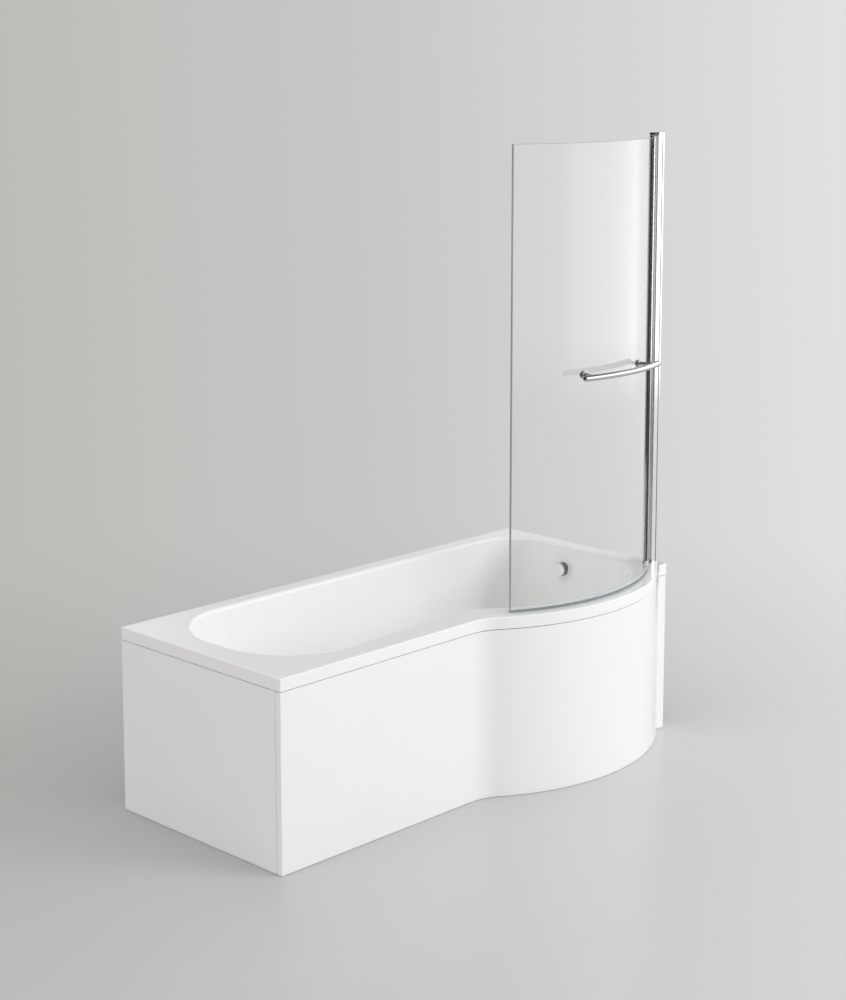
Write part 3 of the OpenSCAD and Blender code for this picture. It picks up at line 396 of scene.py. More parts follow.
def basinRings(inset, restInset):
    # the basin's outline when its sides are drawn in by one length and its backrest by another: arcs
    # joined by straight lines, each tangent to the next; one row of points for each pair of lengths
    d, rest = (np.atleast_1d(np.asarray(v, float)) for v in (inset, restInset))
    b, n = basin, parts
    far = math.sqrt((b["arc"] + b["waistR"]) ** 2 - (bath["bulgeY"] - b["waist"] + b["waistR"]) ** 2)
    slant = math.atan2(b["waist"] - b["front"], b["arcX"] - far - b["plain"] - b["plainR"])
    along = np.array([math.cos(slant), math.sin(slant)])
    out = np.array([math.sin(slant), -math.cos(slant)])
    plainR, backR, showerR = b["plainR"] - d, b["backR"] - d * 0.5, b["showerR"] - d * 0.5
    bulgeR, waistR = b["arc"] - d, b["waistR"] + d * 0.8
    # the hollow waist's round touches the slanted front line and the bulge
    plainX, plainY = b["plain"] + rest + plainR, np.full_like(d, b["front"] + b["plainR"])
    middle = np.array([b["arcX"], bath["bulgeY"]])
    q = np.stack([plainX, plainY], -1) + plainR[:, None] * out + waistR[:, None] * out - middle
    h = q @ along
    t = -h - np.sqrt(h * h - (q * q).sum(-1) + (bulgeR + waistR) ** 2)
    waist = middle + q + t[:, None] * along
    waistA = np.arctan2(middle[1] - waist[:, 1], middle[0] - waist[:, 0])
    # the shower end's front round touches the bulge from inside and the end's straight side
    endX = bath["length"] - b["shower"] - d
    showerX = endX - showerR
    showerY = middle[1] - np.sqrt((bulgeR - showerR) ** 2 - (showerX - middle[0]) ** 2)
    showerA = np.arctan2(showerY - middle[1], showerX - middle[0])
    backY = bath["width"] - b["back"] - d
    return outlineRow(
        arcRow(plainX, plainY, plainR, math.pi, math.pi * 1.5 + slant, n["plain"]), n["front"],
        arcRow(waist[:, 0], waist[:, 1], waistR, quarter + slant, waistA, n["waist"]),
        arcRow(*middle, bulgeR, waistA - math.pi, showerA, n["bulge"], False),
        arcRow(showerX, showerY, showerR, showerA, 0, n["shower"]), n["end"],
        arcRow(endX - backR, backY - backR, backR, 0, quarter, n["back"]), n["rear"],
        arcRow(plainX, backY - plainR, plainR, quarter, math.pi, n["plain"]), n["end"])


def cornerRow(x, y, u, v, arm, r, count):
    # a square corner with a small quarter round, reached along an arm from each side
    p, turn = np.stack([x, y], -1), 10
    u, v, side = np.asarray(u, float), np.asarray(v, float), (count - turn) // 2

    def armEnds(way):
        near, far = r[:, None] * way, arm[:, None] * way
        return p + near, p + far + (far - near) / side

    t = np.linspace(0, quarter, turn)
    swing = np.cos(t)[:, None] * v + np.sin(t)[:, None] * u
    middle = (p + r[:, None] * (u + v))[:, None] - r[:, None, None] * swing
    return np.concatenate([lineRow(*armEnds(u)[::-1], side), middle, lineRow(*armEnds(v), side)], 1)


def frontArcs(i, waistCount, bulgeCount, stripCount):
    # the bath's front drawn in by i: the hollow waist, the bulge and the wall strip's hollow, each
    # tangent to the next, from the right-angled triangles between their centres
    bulge, x0, y0 = bath["bulge"] - i, bath["bulgeX"], bath["bulgeY"]
    waistR, stripR = bath["waist"] + i, bath["strip"] + i
    waistX = x0 - np.sqrt((bulge + waistR) ** 2 - (y0 - i + waistR) ** 2)
    stripX = x0 + np.sqrt((bulge + stripR) ** 2 - (y0 - i + stripR) ** 2)
    waistA, stripA = np.arctan2(y0 - (i - waistR), x0 - waistX), np.arctan2(i - stripR - y0, stripX - x0)
    return (arcRow(waistX, i - waistR, waistR, quarter, waistA, waistCount),
            arcRow(x0, y0, bulge, waistA - math.pi, stripA, bulgeCount, False),
            arcRow(stripX, i - stripR, stripR, stripA + math.pi, quarter, stripCount))


def quarterRound(x, y, r, way, count):
    # corner + radius * (1 - cosine, 1 - sine): way 1 leads from an end round to the front, and
    # way -1 from the front round to the end
    t = np.linspace(0, quarter, count)[::way]
    across, up = r[:, None] * (1 - np.cos(t)), r[:, None] * (1 - np.sin(t))
    return np.stack([x[:, None] + way * across, y[:, None] + up], -1)


def bathRings(i):
    # the bath's outline drawn in by i, with its points in the same order as the basin's
    i = np.atleast_1d(np.asarray(i, float))
    n, endX, backY = parts, bath["length"] - i, bath["width"] - i
    plainArm, backArm = basin["plainR"] - i, basin["backR"] - i
    r = np.maximum(1, bath["corner"] - i)
    # where the basin has the shower end's round, the bath has its strip, a joint, a turn and a side
    strip, joint, turn = 20, 10, quarterRound(endX, i, r, -1, 10)
    rest = n["shower"] - strip - joint - turn.shape[1]
    side = lineRow(turn[:, -1], np.stack([endX, i + bath["side"]], -1), rest)
    return outlineRow(
        cornerRow(i, i, [0, 1], [1, 0], plainArm + basin["front"], r, n["plain"]), n["front"],
        *frontArcs(i, n["waist"], n["bulge"], strip), joint, turn, side, n["end"],
        cornerRow(endX, backY, [0, -1], [-1, 0], backArm + basin["back"], r, n["back"]), n["rear"],
        cornerRow(i, backY, [1, 0], [0, -1], plainArm + basin["back"], r, n["plain"]), n["end"])


average = dict(lead=40, tail=60, spacing=0.5, reach=60, least=0.12, inside=9.0, outside=6.0, rows=62,
               evenness=0.0016)


def wallProfile(off, low, soft):
    # draw-in of the sides, draw-in of the backrest and height, from the rim's edge down to the floor:
    # a quarter roll, a straight slope and a quarter foot
    b, v = basin, average
    top, foot = bath["rim"] - b["roll"], b["floor"] + b["fall"] + b["footRound"]
    t, turn = np.linspace(0, quarter, 40), np.linspace(0, quarter, 80)[1:]
    drop = (top - foot) * np.linspace(0, 1, 120)[1:]
    # level runs, a point for each millimetre, keep the average level at both ends
    lead, tail = np.arange(-v["lead"], 0.0), np.arange(1.0, v["tail"] + 1)

    def drawIn(slope, run):
        wall = b["roll"] + slope * drop
        return np.concatenate([lead, b["roll"] * np.sin(t), wall, wall[-1] + run * (1 - np.cos(turn)),
                               wall[-1] + run + tail])

    d, rest = drawIn(b["slope"], b["footRun"]), drawIn(b["rest"], b["restRun"])
    z = np.concatenate([np.full(len(lead), bath["rim"]), top + b["roll"] * np.cos(t), top - drop,
                        foot - (foot - low) * np.sin(turn), np.full(len(tail), low)])
    length = np.concatenate([[0], np.cumsum(np.hypot(np.diff(d), np.diff(z)))])
    # a moving average along the length, weighted by a bell, rounds the joints, less so near the rim
    even = np.arange(0, length[-1], v["spacing"])
    d, rest, z = (np.interp(even, length, line) for line in (d, rest, z))
    near = np.arange(-v["reach"], v["reach"] + 1)
    wide = np.clip((even - v["lead"] - 20) / 40, v["least"], 1) * soft
    bells = np.exp(-0.5 * (near[None, :] * v["spacing"] / wide[:, None]) ** 2)
    bells /= bells.sum(1, keepdims=True)
    index = np.clip(np.arange(len(even))[:, None] + near[None, :], 0, len(even) - 1)
    d, rest, z = ((line[index] * bells).sum(1) for line in (d, rest, z))
    # the rows that are kept stand closer where the profile bends
    start = np.searchsorted(even, v["lead"] - bath["round"])
    stop = np.searchsorted(even, length[-1] - v["tail"] - 2)
    bend = np.abs(np.gradient(np.arctan2(np.gradient(z), np.gradient(d)))) + v["evenness"]
    travel = np.cumsum(bend[start:stop])
    pick = start + np.searchsorted(travel, np.linspace(0, travel[-1], v["rows"])[:-1])
    pick = np.unique(np.append(pick, stop))
    return d[pick] - off, rest[pick] - off, z[pick]


def wasteRing(shape, r):
    # a circle round the waste whose points lie in the directions of the shape's own points
    a = np.arctan2(shape[:, 1] - waste["y"], shape[:, 0] - waste["x"])
    return np.stack([waste["x"] + r * np.cos(a), waste["y"] + r * np.sin(a)], -1)


def shellGrid():
    # rings from the waste's hole over the floor, up the walls, over the rim and the lip and back
    # underneath; each has a height and a kind, 0 for acrylic and 1 for the resin behind it
    b, w, rim, r = basin, waste, bath["rim"], bath["round"]
    d, rest, z = wallProfile(0.0, b["floor"] + b["fall"], average["inside"])
    inner = basinRings(d, rest)
    floorRing = inner[-1]
    edge, edgeZ = w["recess"] + 2, b["floor"] + 0.1
    rings = [(wasteRing(floorRing, radius), w["recessZ"] + step, 0) for radius, step in (
        (w["hole"] + 0.3, -0.4), (w["hole"] + 0.9, 0), (w["recess"] - 4.5, 0), (w["recess"] - 2.8, 0.25),
        (w["recess"] - 1.4, 1.1), (w["recess"], 1.8))]
    hub = wasteRing(floorRing, edge)
    for f in (0, 0.03, 0.08, 0.16, 0.26, 0.38, 0.5, 0.62, 0.74, 0.84, 0.92, 0.97):
        rings.append((hub + (floorRing - hub) * f, edgeZ + (z[-1] - edgeZ) * f, 0))
    rings += [(ring, height, 0) for ring, height in zip(inner[::-1], z[::-1])]
    foot, under = rim - bath["lip"], rim - bath["lipWall"]
    tops = [(r + 1.5, rim, 0)]
    tops += [(r * (1 - math.cos(t)), rim - r * (1 - math.sin(t)), 0) for t in np.linspace(quarter, 0, 7)]
    tops += [(0, rim - 8, 0), (0, foot + 2, 0), (0, foot + 0.8, 0), (0.3, foot + 0.25, 0),
             (0.8, foot, 0), (bath["lipWall"] - 0.8, foot, 0), (bath["lipWall"], foot + 0.8, 1),
             (bath["lipWall"], under, 1)]
    rings += [(ring, *top[1:]) for ring, top in zip(bathRings([top[0] for top in tops]), tops)]
    # below the rim the outer wall follows the inner one at the shell's thickness
    outerD, outerRest, outerZ = wallProfile(b["wall"], b["under"], average["outside"])
    keep = outerZ < under - 6
    outer = basinRings(outerD[keep], outerRest[keep])
    rings.append((basinRings(0, 0)[0], under, 1))
    rings += [(ring, height, 1) for ring, height in zip(outer, outerZ[keep])]
    hub = wasteRing(floorRing, w["hole"] + w["seat"])
    rings += [(hub + (outer[-1] - hub) * f, b["under"], 1) for f in (0.9, 0.6, 0.3, 0.0)]
    rings.append((wasteRing(floorRing, w["hole"]), b["under"], 1))
    grid = np.array([np.column_stack([ring, np.full(len(ring), height)]) for ring, height, _ in rings])
    return grid, np.array([kind for *_, kind in rings])


grid, kinds = shellGrid()
faceKinds = np.repeat(np.maximum(kinds, np.roll(kinds, -1)), grid.shape[1])
mesh = gridMesh("bathShellSurface", inMetres(grid), 50, faceKinds, loopRows=True)
addPiece(mesh, "bath", "white_acrylic", [acrylic, resinBack], "bath_shell")
print("bath shell made with", len(mesh.polygons), "faces")


# panels
panels = dict(set=1.5, wall=4, depth=20, gap=2.2, air=2.2, edge=1.4)
panelTop = bath["rim"] - bath["lip"] - panels["gap"]


def panelLine(i):
    # the front panel's line drawn in by i: the turned edge, the corner, the straight front, the hollow
    # waist, the bulge, the wall strip and the second turned edge
    stop, endX = np.full_like(i, panels["set"] + panels["depth"]), bath["length"] - i
    r = np.maximum(0.6, bath["corner"] - i)
    start, end = np.stack([i, stop], -1), np.stack([endX, stop], -1)
    line = outlineRow(start[:, None], 3, quarterRound(i, i, r, 1, 8), 30, *frontArcs(i, 28, 150, 14), 3,
                      quarterRound(endX, i, r, -1, 8), end[:, None])
    line[..., 1] = np.minimum(line[..., 1], stop[:, None])
    return line


def frontPanelGrid():
    # a channel section with rounded edges, carried along the panel's line
    s, w, deep, e, top = panels["set"], panels["wall"], panels["depth"], panels["edge"], panelTop
    corners = [(s, 0), (s + deep, 0), (s + deep, w), (s + w, w), (s + w, top - w), (s + deep, top - w),
               (s + deep, top), (s, top)]
    section = roundedPath(corners, [e, 0.5, 0.5, 1, 1, 0.5, 0.5, e], 6)
    line = panelLine(section[:, 0]).transpose(1, 0, 2)
    heights = np.broadcast_to(section[:, 1:], line.shape[:2] + (1,))
    return np.concatenate([line, heights], -1)


def endPanelGrid():
    # a shallow tray: rounded rectangles drawn in as they go over the face's edge, back and inside
    s, w, deep, e = panels["set"], panels["wall"], panels["depth"], panels["edge"]
    low, high = np.array([s + deep + panels["air"], 0.0]), np.array([bath["width"], panelTop])
    steps = [(e + 6, 0.0)]
    steps += [(e * (1 - math.sin(t)), e * (1 - math.cos(t))) for t in np.linspace(0, quarter, 7)]
    steps += [(0, deep - 0.5), (0.5, deep), (w - 0.5, deep), (w, deep - 0.5), (w, w + 0.8), (w + 0.8, w),
              (w + 8, w)]
    rows = []
    for inset, depth in steps:
        (y0, z0), (y1, z1) = low + inset, high - inset
        ring = roundedPath([(y0, z0), (y1, z0), (y1, z1), (y0, z1)], max(0.4, 2.0 - inset), 5)
        rows.append(np.column_stack([np.full(len(ring), s + depth), ring]))
    return np.array(rows)


for name, grid, node in (("frontPanelSkin", frontPanelGrid(), "front_panel"),
                         ("endPanelSkin", endPanelGrid(), "end_panel")):
    addPiece(gridMesh(name, inMetres(grid), 40), "bath", "white_panel", [panelAcrylic], node)
print("panels made")


# glass screen: the angles go round the middle of the bulge
screen = dict(radius=640, thick=6, bottom=566, top=1962, pivotX=1656, inset=4.5, start=12, span=71.9,
              polish=0.9, postR=11, postLow=568.8, postHigh=1961.2, jaw=26, jawHalf=6.1, slotHalf=4.1)
glassMid = screen["radius"] - screen["thick"] / 2
pivotArc = glassMid - screen["inset"]
pivotY = bath["bulgeY"] - math.sqrt(pivotArc ** 2 - (screen["pivotX"] - bath["bulgeX"]) ** 2)
pivotA = math.atan2(pivotY - bath["bulgeY"], screen["pivotX"] - bath["bulgeX"])
hingeA = pivotA - screen["start"] / glassMid
freeA = hingeA - math.radians(screen["span"])


def aroundBulge(radius, angle, z):
    # middle of the bulge + radius * (cosine, sine), at the height
    spots = (bath["bulgeX"] + radius * np.cos(angle), bath["bulgeY"] + radius * np.sin(angle), z)
    return np.stack(np.broadcast_arrays(*spots), -1)


def glassGrid():
    # a tall thin section with polished edges, carried round the bulge; towards both ends it shrinks
    # by the polish * (1 - sine) while the angle runs on by the polish * (1 - cosine)
    polish, half, low, high = screen["polish"], screen["thick"] / 2, screen["bottom"], screen["top"]
    turn = np.linspace(0, quarter, 5)
    shrink, run = polish * (1 - np.sin(turn)), polish * (1 - np.cos(turn)) / glassMid
    sheetA = np.linspace(freeA, hingeA, 182)[1:-1]
    angles = np.concatenate([freeA + run, sheetA, hingeA - run[::-1]])
    shrinks = np.concatenate([shrink, np.zeros(len(sheetA)), shrink[::-1]])
    section = roundedPath([(-half, low), (half, low), (half, high), (-half, high)], polish, 4)
    inward = np.sign(np.array([0, (low + high) / 2]) - section)
    x, z = np.moveaxis(section + shrinks[:, None, None] * inward, -1, 0)
    return aroundBulge(glassMid + x, angles[:, None], z)


grid = glassGrid()
# the section's rounds and flats come in turn: the foot and the top, and both ends, are polished edge
kinds = np.zeros((grid.shape[0] - 1, grid.shape[1]), int)
kinds[:, 0:7] = kinds[:, 8:15] = kinds[:5] = kinds[-5:] = 1
mesh = gridMesh("glassSheet", inMetres(grid), 25, np.append(kinds, [1, 1]))
sheet = addPiece(mesh, "screen", "clear_glass", [glass, edgeGlass], "glass_pane")
sheet.visible_shadow = False


def postGrid():
    # the outline of a tube with a two-lipped jaw, in lengths along and across the glass, drawn
    # straight up; at both ends it draws in along its own normals
    r, half, slot, inset, jaw = (screen[k] for k in ("postR", "jawHalf", "slotHalf", "inset", "jaw"))
    outer, inner = inset + half, inset - half
    a0, a1 = math.asin(outer / r), math.asin(inner / r)
    t = np.linspace(a0, 2 * math.pi + a1, 72)
    circle = np.column_stack([r * np.cos(t), r * np.sin(t)])
    lips = roundedPath([(r * math.cos(a1) + 1, inner), (jaw, inner), (jaw, inset - slot),
                        (r, inset - slot), (r, inset + slot), (jaw, inset + slot), (jaw, outer),
                        (r * math.cos(a0) + 3, outer)],
                       [0, 0.8, 0.8, 0.5, 0.5, 0.8, 0.8, 0], 5, closed=False)
    outline = np.concatenate([circle, lips])
    tangent = np.roll(outline, -1, 0) - np.roll(outline, 1, 0)
    tangent /= np.linalg.norm(tangent, axis=1)[:, None] + 1e-9
    normal = np.column_stack([-tangent[:, 1], tangent[:, 0]])
    drawn, ends = np.array([0.3, 0.09, 0, 0]), np.array([0, 0.18, 0.6, 4])
    drawn = np.append(drawn, drawn[::-1])
    z = np.append(screen["postLow"] + ends, screen["postHigh"] - ends[::-1])
    x, y = np.moveaxis(outline + normal * drawn[:, None, None], -1, 0)
    return aroundBulge(pivotArc + y, pivotA - x / glassMid, z[:, None])


mesh = gridMesh("pivotPostTube", inMetres(postGrid()), 32)
addPiece(mesh, "screen", "chrome", [chrome], "pivot_post")

channel = dict(depth=30, width=26, wall=2, edge=1.1, top=1970, groove=4.6, grooveDeep=1.5, grooveAt=7.5)


def channelGrid():
    # a U section with softened corners and a V groove along each side, drawn straight up
    half, w, e, groove = channel["width"] / 2, channel["wall"], channel["edge"], channel["groove"]
    x0, x1 = bath["length"] - channel["depth"], bath["length"]
    back = x1 - channel["grooveAt"]
    side = [(x0, half), (back - groove, half), (back - groove / 2, half - channel["grooveDeep"]),
            (back, half), (x1, half)]
    inside = [(x0, half - w), (x1 - w, half - w), (x1 - w, w - half), (x0, w - half)]
    section = roundedPath([(x, -y) for x, y in side] + side[::-1] + inside,
                          [0.7, 0.3, 0.3, 0.3, e, e, 0.3, 0.3, 0.3, 0.7, 0.7, 0.6, 0.6, 0.7], 5)
    section += [0, pivotY]
    heights = (bath["rim"], bath["rim"] + 3, channel["top"] - 3, channel["top"])
    return np.array([np.column_stack([section, np.full(len(section), z)]) for z in heights])


mesh = gridMesh("wallChannelProfile", inMetres(channelGrid()), 32)
middles = np.empty(len(mesh.polygons) * 3)
mesh.polygons.foreach_get("center", middles)
grooveMid = inMetres([bath["length"] - channel["grooveAt"] - channel["groove"] / 2, pivotY, 0])
across, aside, _ = np.abs(middles.reshape(-1, 3) - grooveMid).T * 1000
grooveFloor = channel["width"] / 2 - channel["grooveDeep"]
grooveShadeFaces = (across < channel["groove"] / 2) & (aside > grooveFloor - 0.1)
mesh.polygons.foreach_set("material_index", grooveShadeFaces.astype(np.int32))    # the groove's faces take the dark grey seal: painted shade for the groove's shadow gap
addPiece(mesh, "bath", "chrome", [chrome, greySeal], "wall_channel")
print("screen made")


# towel rail
rail = dict(arc=695, r=9.5, z=1267, start=-13, end=19.4, dome=5.0, stems=(-9, 17), stemR=6, stemOut=50,
            rosette=12, bolt=12, washer=1)


def railGrid():
    # a circle carried round the bulge; at each end its radius closes as sine to the power 0.8 while
    # the angle runs on by the dome * (1 - cosine)
    t = np.linspace(0, quarter, 12)
    close = np.sin(t) ** 0.8
    reach = rail["dome"] * (1 - np.cos(t)) / rail["arc"]
    a0, a1 = math.radians(rail["start"] - 90), math.radians(rail["end"] - 90)
    tubeA = np.linspace(a0 + reach[-1], a1 - reach[-1], 110)[1:-1]
    angles = np.concatenate([a0 + reach, tubeA, a1 - reach[::-1]])[:, None]
    size = np.concatenate([close, np.ones(len(tubeA)), close[::-1]])[:, None] * rail["r"]
    size = np.maximum(size, 0.02)
    b = np.arange(40) * 2 * math.pi / 40
    return aroundBulge(rail["arc"] + size * np.cos(b), angles, rail["z"] + size * np.sin(b))


def stemSpot(angle):
    # the bulge's middle at the rail's height, and the direction from it to the stem
    a = math.radians(angle - 90)
    return inMetres([bath["bulgeX"], bath["bulgeY"], rail["z"]]), (math.cos(a), math.sin(a), 0)


mesh = gridMesh("towelRailTube", inMetres(railGrid()), 60)
addPiece(mesh, "screen", "chrome", [railChromeShaded], "rail_bar")
spots = [stemSpot(angle) for angle in rail["stems"]]
r, rose, head, out = rail["stemR"], rail["rosette"], rail["bolt"], rail["stemOut"]
# radii, and lengths from the outer washer's face or from the glass's inner face
outside = np.array([0, screen["radius"] + rail["washer"]])
inside = np.array([0, screen["radius"] - screen["thick"]])
stem = outside + [(0.01, 0), (r, 0), (r, 34), (r + 0.5, 41), (r + 1.8, 45), (r + 1.8, out), (0.01, out)]
rosette = outside + [(r + 0.1, 0), (rose - 0.4, 0), (rose, 0.4), (rose, 2.6), (rose - 0.3, 3.3),
                     (rose - 1.1, 3.9), (rose - 2.6, 4.4), (r + 0.1, 4.5)]
bolt = inside + [(0.01, -7.1), (head - 6, -7), (head - 2.8, -6.5), (head - 0.8, -5.4), (head, -3.8),
                 (head, -1.7), (head - 0.3, -1.3), (4, -1.3), (4, 21), (0.01, 21)]
addPiece(turnedMesh("railStems", spots, stem, 48), "screen", "chrome", [railChromeShaded])
addPiece(turnedMesh("railRoses", spots, rosette, 64), "screen", "chrome", [railChromeShaded], "rail_rosettes")
addPiece(turnedMesh("railBoltHeads", spots, bolt, 64), "screen", "chrome", [railChromeShaded], "rail_bolts")
print("towel rail made")


# overflow and waste
knob = dict(r=22, length=17, z=6, bore=5.1, boreDeep=12.5, ribs=72, ribDepth=0.28, height=485)
plate = dict(r=25, height=3, bore=5.05, sleeve=19.5, sleeveBack=22.957)
tilt = math.atan(basin["slope"])
overflowX = bath["length"] - basin["shower"] - basin["roll"] \
    - basin["slope"] * (bath["rim"] - basin["roll"] - knob["height"])
overflow = (inMetres([overflowX, waste["y"], knob["height"]]), (-math.cos(tilt), 0, math.sin(tilt)))


def knobGrid():
    # a turned cup with a domed face; along its side the radius is drawn in by the wave's share of
    # rib depth * (1 - cosine of the ribs round the axis) / 2
    r, z0, z1 = knob["r"], knob["z"], knob["z"] + knob["length"]
    flat = r - 4.2
    profile = [(knob["bore"], z0 + knob["boreDeep"]), (knob["bore"], z0), (r - 1.2, z0),
               (r - 0.3, z0 + 0.4), (r, z0 + 1.2), (r, z0 + 3), (r, z1 - 5)]
    profile += [(r - 1.6 + 1.6 * math.cos(a), z1 - 3 + 1.8 * math.sin(a))
                for a in np.linspace(0, quarter, 8)]
    profile += [(r - 3, z1 - 1.1), (flat, z1 - 0.9)]
    profile += [(x, z1 - 0.9 * (x / flat) ** 2) for x in (15, 11, 7, 3, 0.02)]
    radius, h = np.asarray(profile, float).T
    wave = np.zeros(len(radius))
    wave[3:11] = (0.2, 0.8, 1, 1, 1, 0.8, 0.5, 0.2)
    count = knob["ribs"] * 6
    a = np.arange(count) * 2 * math.pi / count
    ribs = knob["ribDepth"] * (0.5 - 0.5 * np.cos(a * knob["ribs"]))
    return turned(*overflow, radius[:, None] - wave[:, None] * ribs, h, count)


grid = knobGrid()
kinds = np.zeros((grid.shape[0] - 1, grid.shape[1]), int)
kinds[2:9] = 1    # the ribbed side, in the near-black chrome: real ribs, painted shade
mesh = gridMesh("controlKnobCap", grid, 40, np.append(kinds, [1, 0]))
addPiece(mesh, "control", "chrome", [chrome, ribbedShade], "control_knob")


def plateProfile():
    # a sleeve through the shell, then the plate's rim as a quarter ellipse
    r, h, back = plate["r"], plate["height"], -plate["sleeveBack"]
    t = np.linspace(0, quarter, 7)
    return [(plate["bore"], back), (plate["sleeve"], back), (plate["sleeve"], 0), (r - 0.4, 0.0),
            *((r - h * 0.9 * (1 - math.cos(a)), 0.1 + (h - 0.1) * math.sin(a)) for a in t),
            (plate["bore"], h)]


mesh = turnedMesh("overflowPlate", [overflow], plateProfile(), ring=True)
addPiece(mesh, "bath", "chrome", [chrome], "overflow_rosette")

plug = dict(r=33, foot=168, side=169.6, dome=2.35)


def plugProfile():
    # a low side, then radius * cosine and dome * sine to the power 0.8
    r, foot, side = plug["r"], plug["foot"], plug["side"]
    return [(0.01, foot), (r - 0.5, foot), (r, foot + 0.5), (r, side),
            *((max(0.01, r * math.cos(a)), side + plug["dome"] * math.sin(a) ** 0.8)
              for a in np.linspace(0.05, quarter, 12))]


wasteSpot = (inMetres([waste["x"], waste["y"], 0]), (0, 0, 1))
mesh = turnedMesh("plugDome", [wasteSpot], plugProfile(), sharp=30)
addPiece(mesh, "plug", "chrome", [chrome], "popup_plug")
print("overflow and waste made")


# pieces that keep their own shape, with their finishes
finishes = (
    (board, "base_board", "rim_battens"),
    (pine, "panel_battens"),
    (zinc, "leg_channel_plain", "leg_channel_middle", "leg_channel_shower", "leg_screws", "foot_rods",
     "foot_nuts", "wall_clips", "panel_clips", "clip_screws", "adjust_screws", "knob_screw"),
    (darkPlastic, "foot_pads", "overflow_body", "pipe_elbow", "waste_body", "trap_nut", "hinge_foot",
     "hinge_head"),
    (rubber, "overflow_gasket", "lift_cable", "waste_gasket", "plug_ring"),
    (whitePipe, "overflow_pipe", "link_pipe", "trap_cup", "trap_outlet"),
    (chrome, "waste_flange", "adjust_profile", "channel_cap"),
    (greySeal, "post_seal", "glass_gasket"),
    (brass, "knob_spindle", "plug_stem"),
    (nylon, "post_bushes"),
    (clearVinyl("sealVinyl", nodes["bottom_seal"].data), "bottom_seal"),
    (clearVinyl("washerVinyl", nodes["rail_washers"].data), "rail_washers"))
for finish, *names in finishes:
    for name in names:
        nodes[name].data.materials.clear()
        nodes[name].data.materials.append(finish)
print("finishes set on the kept pieces")


# floor, light and camera
# the floor's tones and its far glow are painted light: darker towards the plain end's side, lighter
# towards the shower end's side
studio = dict(size=400.0, drop=0.001,
              paintedFloorLight=((0.46, 0.45, 0.43), (0.6, 0.6, 0.597), (0.745, 0.745, 0.745)),
              skies=((0.472, 0.459, 0.424), (0.584, 0.584, 0.58), (0.82, 0.82, 0.82)), air=0.8,
              overhead=((0.42, 1), (0.75, 0.3)), side=(0.707, -0.707, 0.0), soft=6.0, spread=0.3,
              near=0.9, far=3.6, aim=(0, 0, 0.4))
lamps = dict(    # place, size, power and tone
    keyLamp=((5.2, -9.0, 4.9), 5.0, 480.0, (1, 1, 1)),
    fillLamp=((-9.0, 1.2, 2.4), 4.0, 62.0, (1, 0.9, 0.8)))
cards = dict(    # radius, first and last degree, foot, top, share that fades at foot and top, strength
    brightCard=(4.2, -88, 14, 0.0, 2.2, 0.3, 0.12),
    wideVeil=(4.1, -118, 4, 0.5, 2.3, 0.2, 0.5),
    sideVeil=(4.0, -72, -8, 0.5, 2.3, 0.2, 0.6),
    rollCard=(4.2, -75, 10, 1.95, 3.3, 0.35, 3.0),
    roofCard=(4.2, -80, -10, 3.4, 4.5, 0.3, 1.0),
    darkCard=(3.4, 92, 250, -0.02, 2.6, 0.02, -0.96),
    postCard=(1.02, -15, 2, 0.3, 2.1, 0.1, -0.96),
    farCard=(12.0, 24, 56, 3.4, 5.4, 0.3, -0.75))
view = dict(place=(-4.2755, -4.1396, 2.244), yaw=44.285, pitch=8.685, focal=1992.8, height=1000,
            sensor=36, shift=-0.15, reach=2000)


def sideShade(tree, vector, stops, soft):
    # the way towards the shower end's side, over the distance from the middle plus a soft length, drawn
    # out over the stops; on the floor this is painted light, darker towards the plain end's side and
    # lighter towards the shower end's
    split = nodeOn(tree, "SeparateXYZ", {"Vector": vector}).outputs
    flat = nodeOn(tree, "CombineXYZ", {"X": split["X"], "Y": split["Y"]}).outputs["Vector"]
    side = nodeOn(tree, "VectorMath", {0: flat, 1: studio["side"]}, operation="DOT_PRODUCT")
    away = mathOn(tree, "ADD", distanceOn(tree, flat), soft)
    share = mathOn(tree, "DIVIDE", side.outputs["Value"], away)
    return rampOn(tree, rangeOn(tree, share, 0.0, 1.0, -studio["spread"], studio["spread"]),
                  [(k / (len(stops) - 1), tone) for k, tone in enumerate(stops)])


def seenDirectly(tree):
    # camera ray + glossy ray + transmission ray - the number of bounces off dull surfaces, each sum
    # held between 0 and 1: 1 for what is seen, mirrored or refracted, 0 for light carried on
    path = nodeOn(tree, "LightPath").outputs
    seen = path["Is Camera Ray"]
    for kind in ("Is Glossy Ray", "Is Transmission Ray"):
        seen = mathOn(tree, "ADD", seen, path[kind], clamp=True)
    return mathOn(tree, "SUBTRACT", seen, path["Diffuse Depth"], clamp=True)


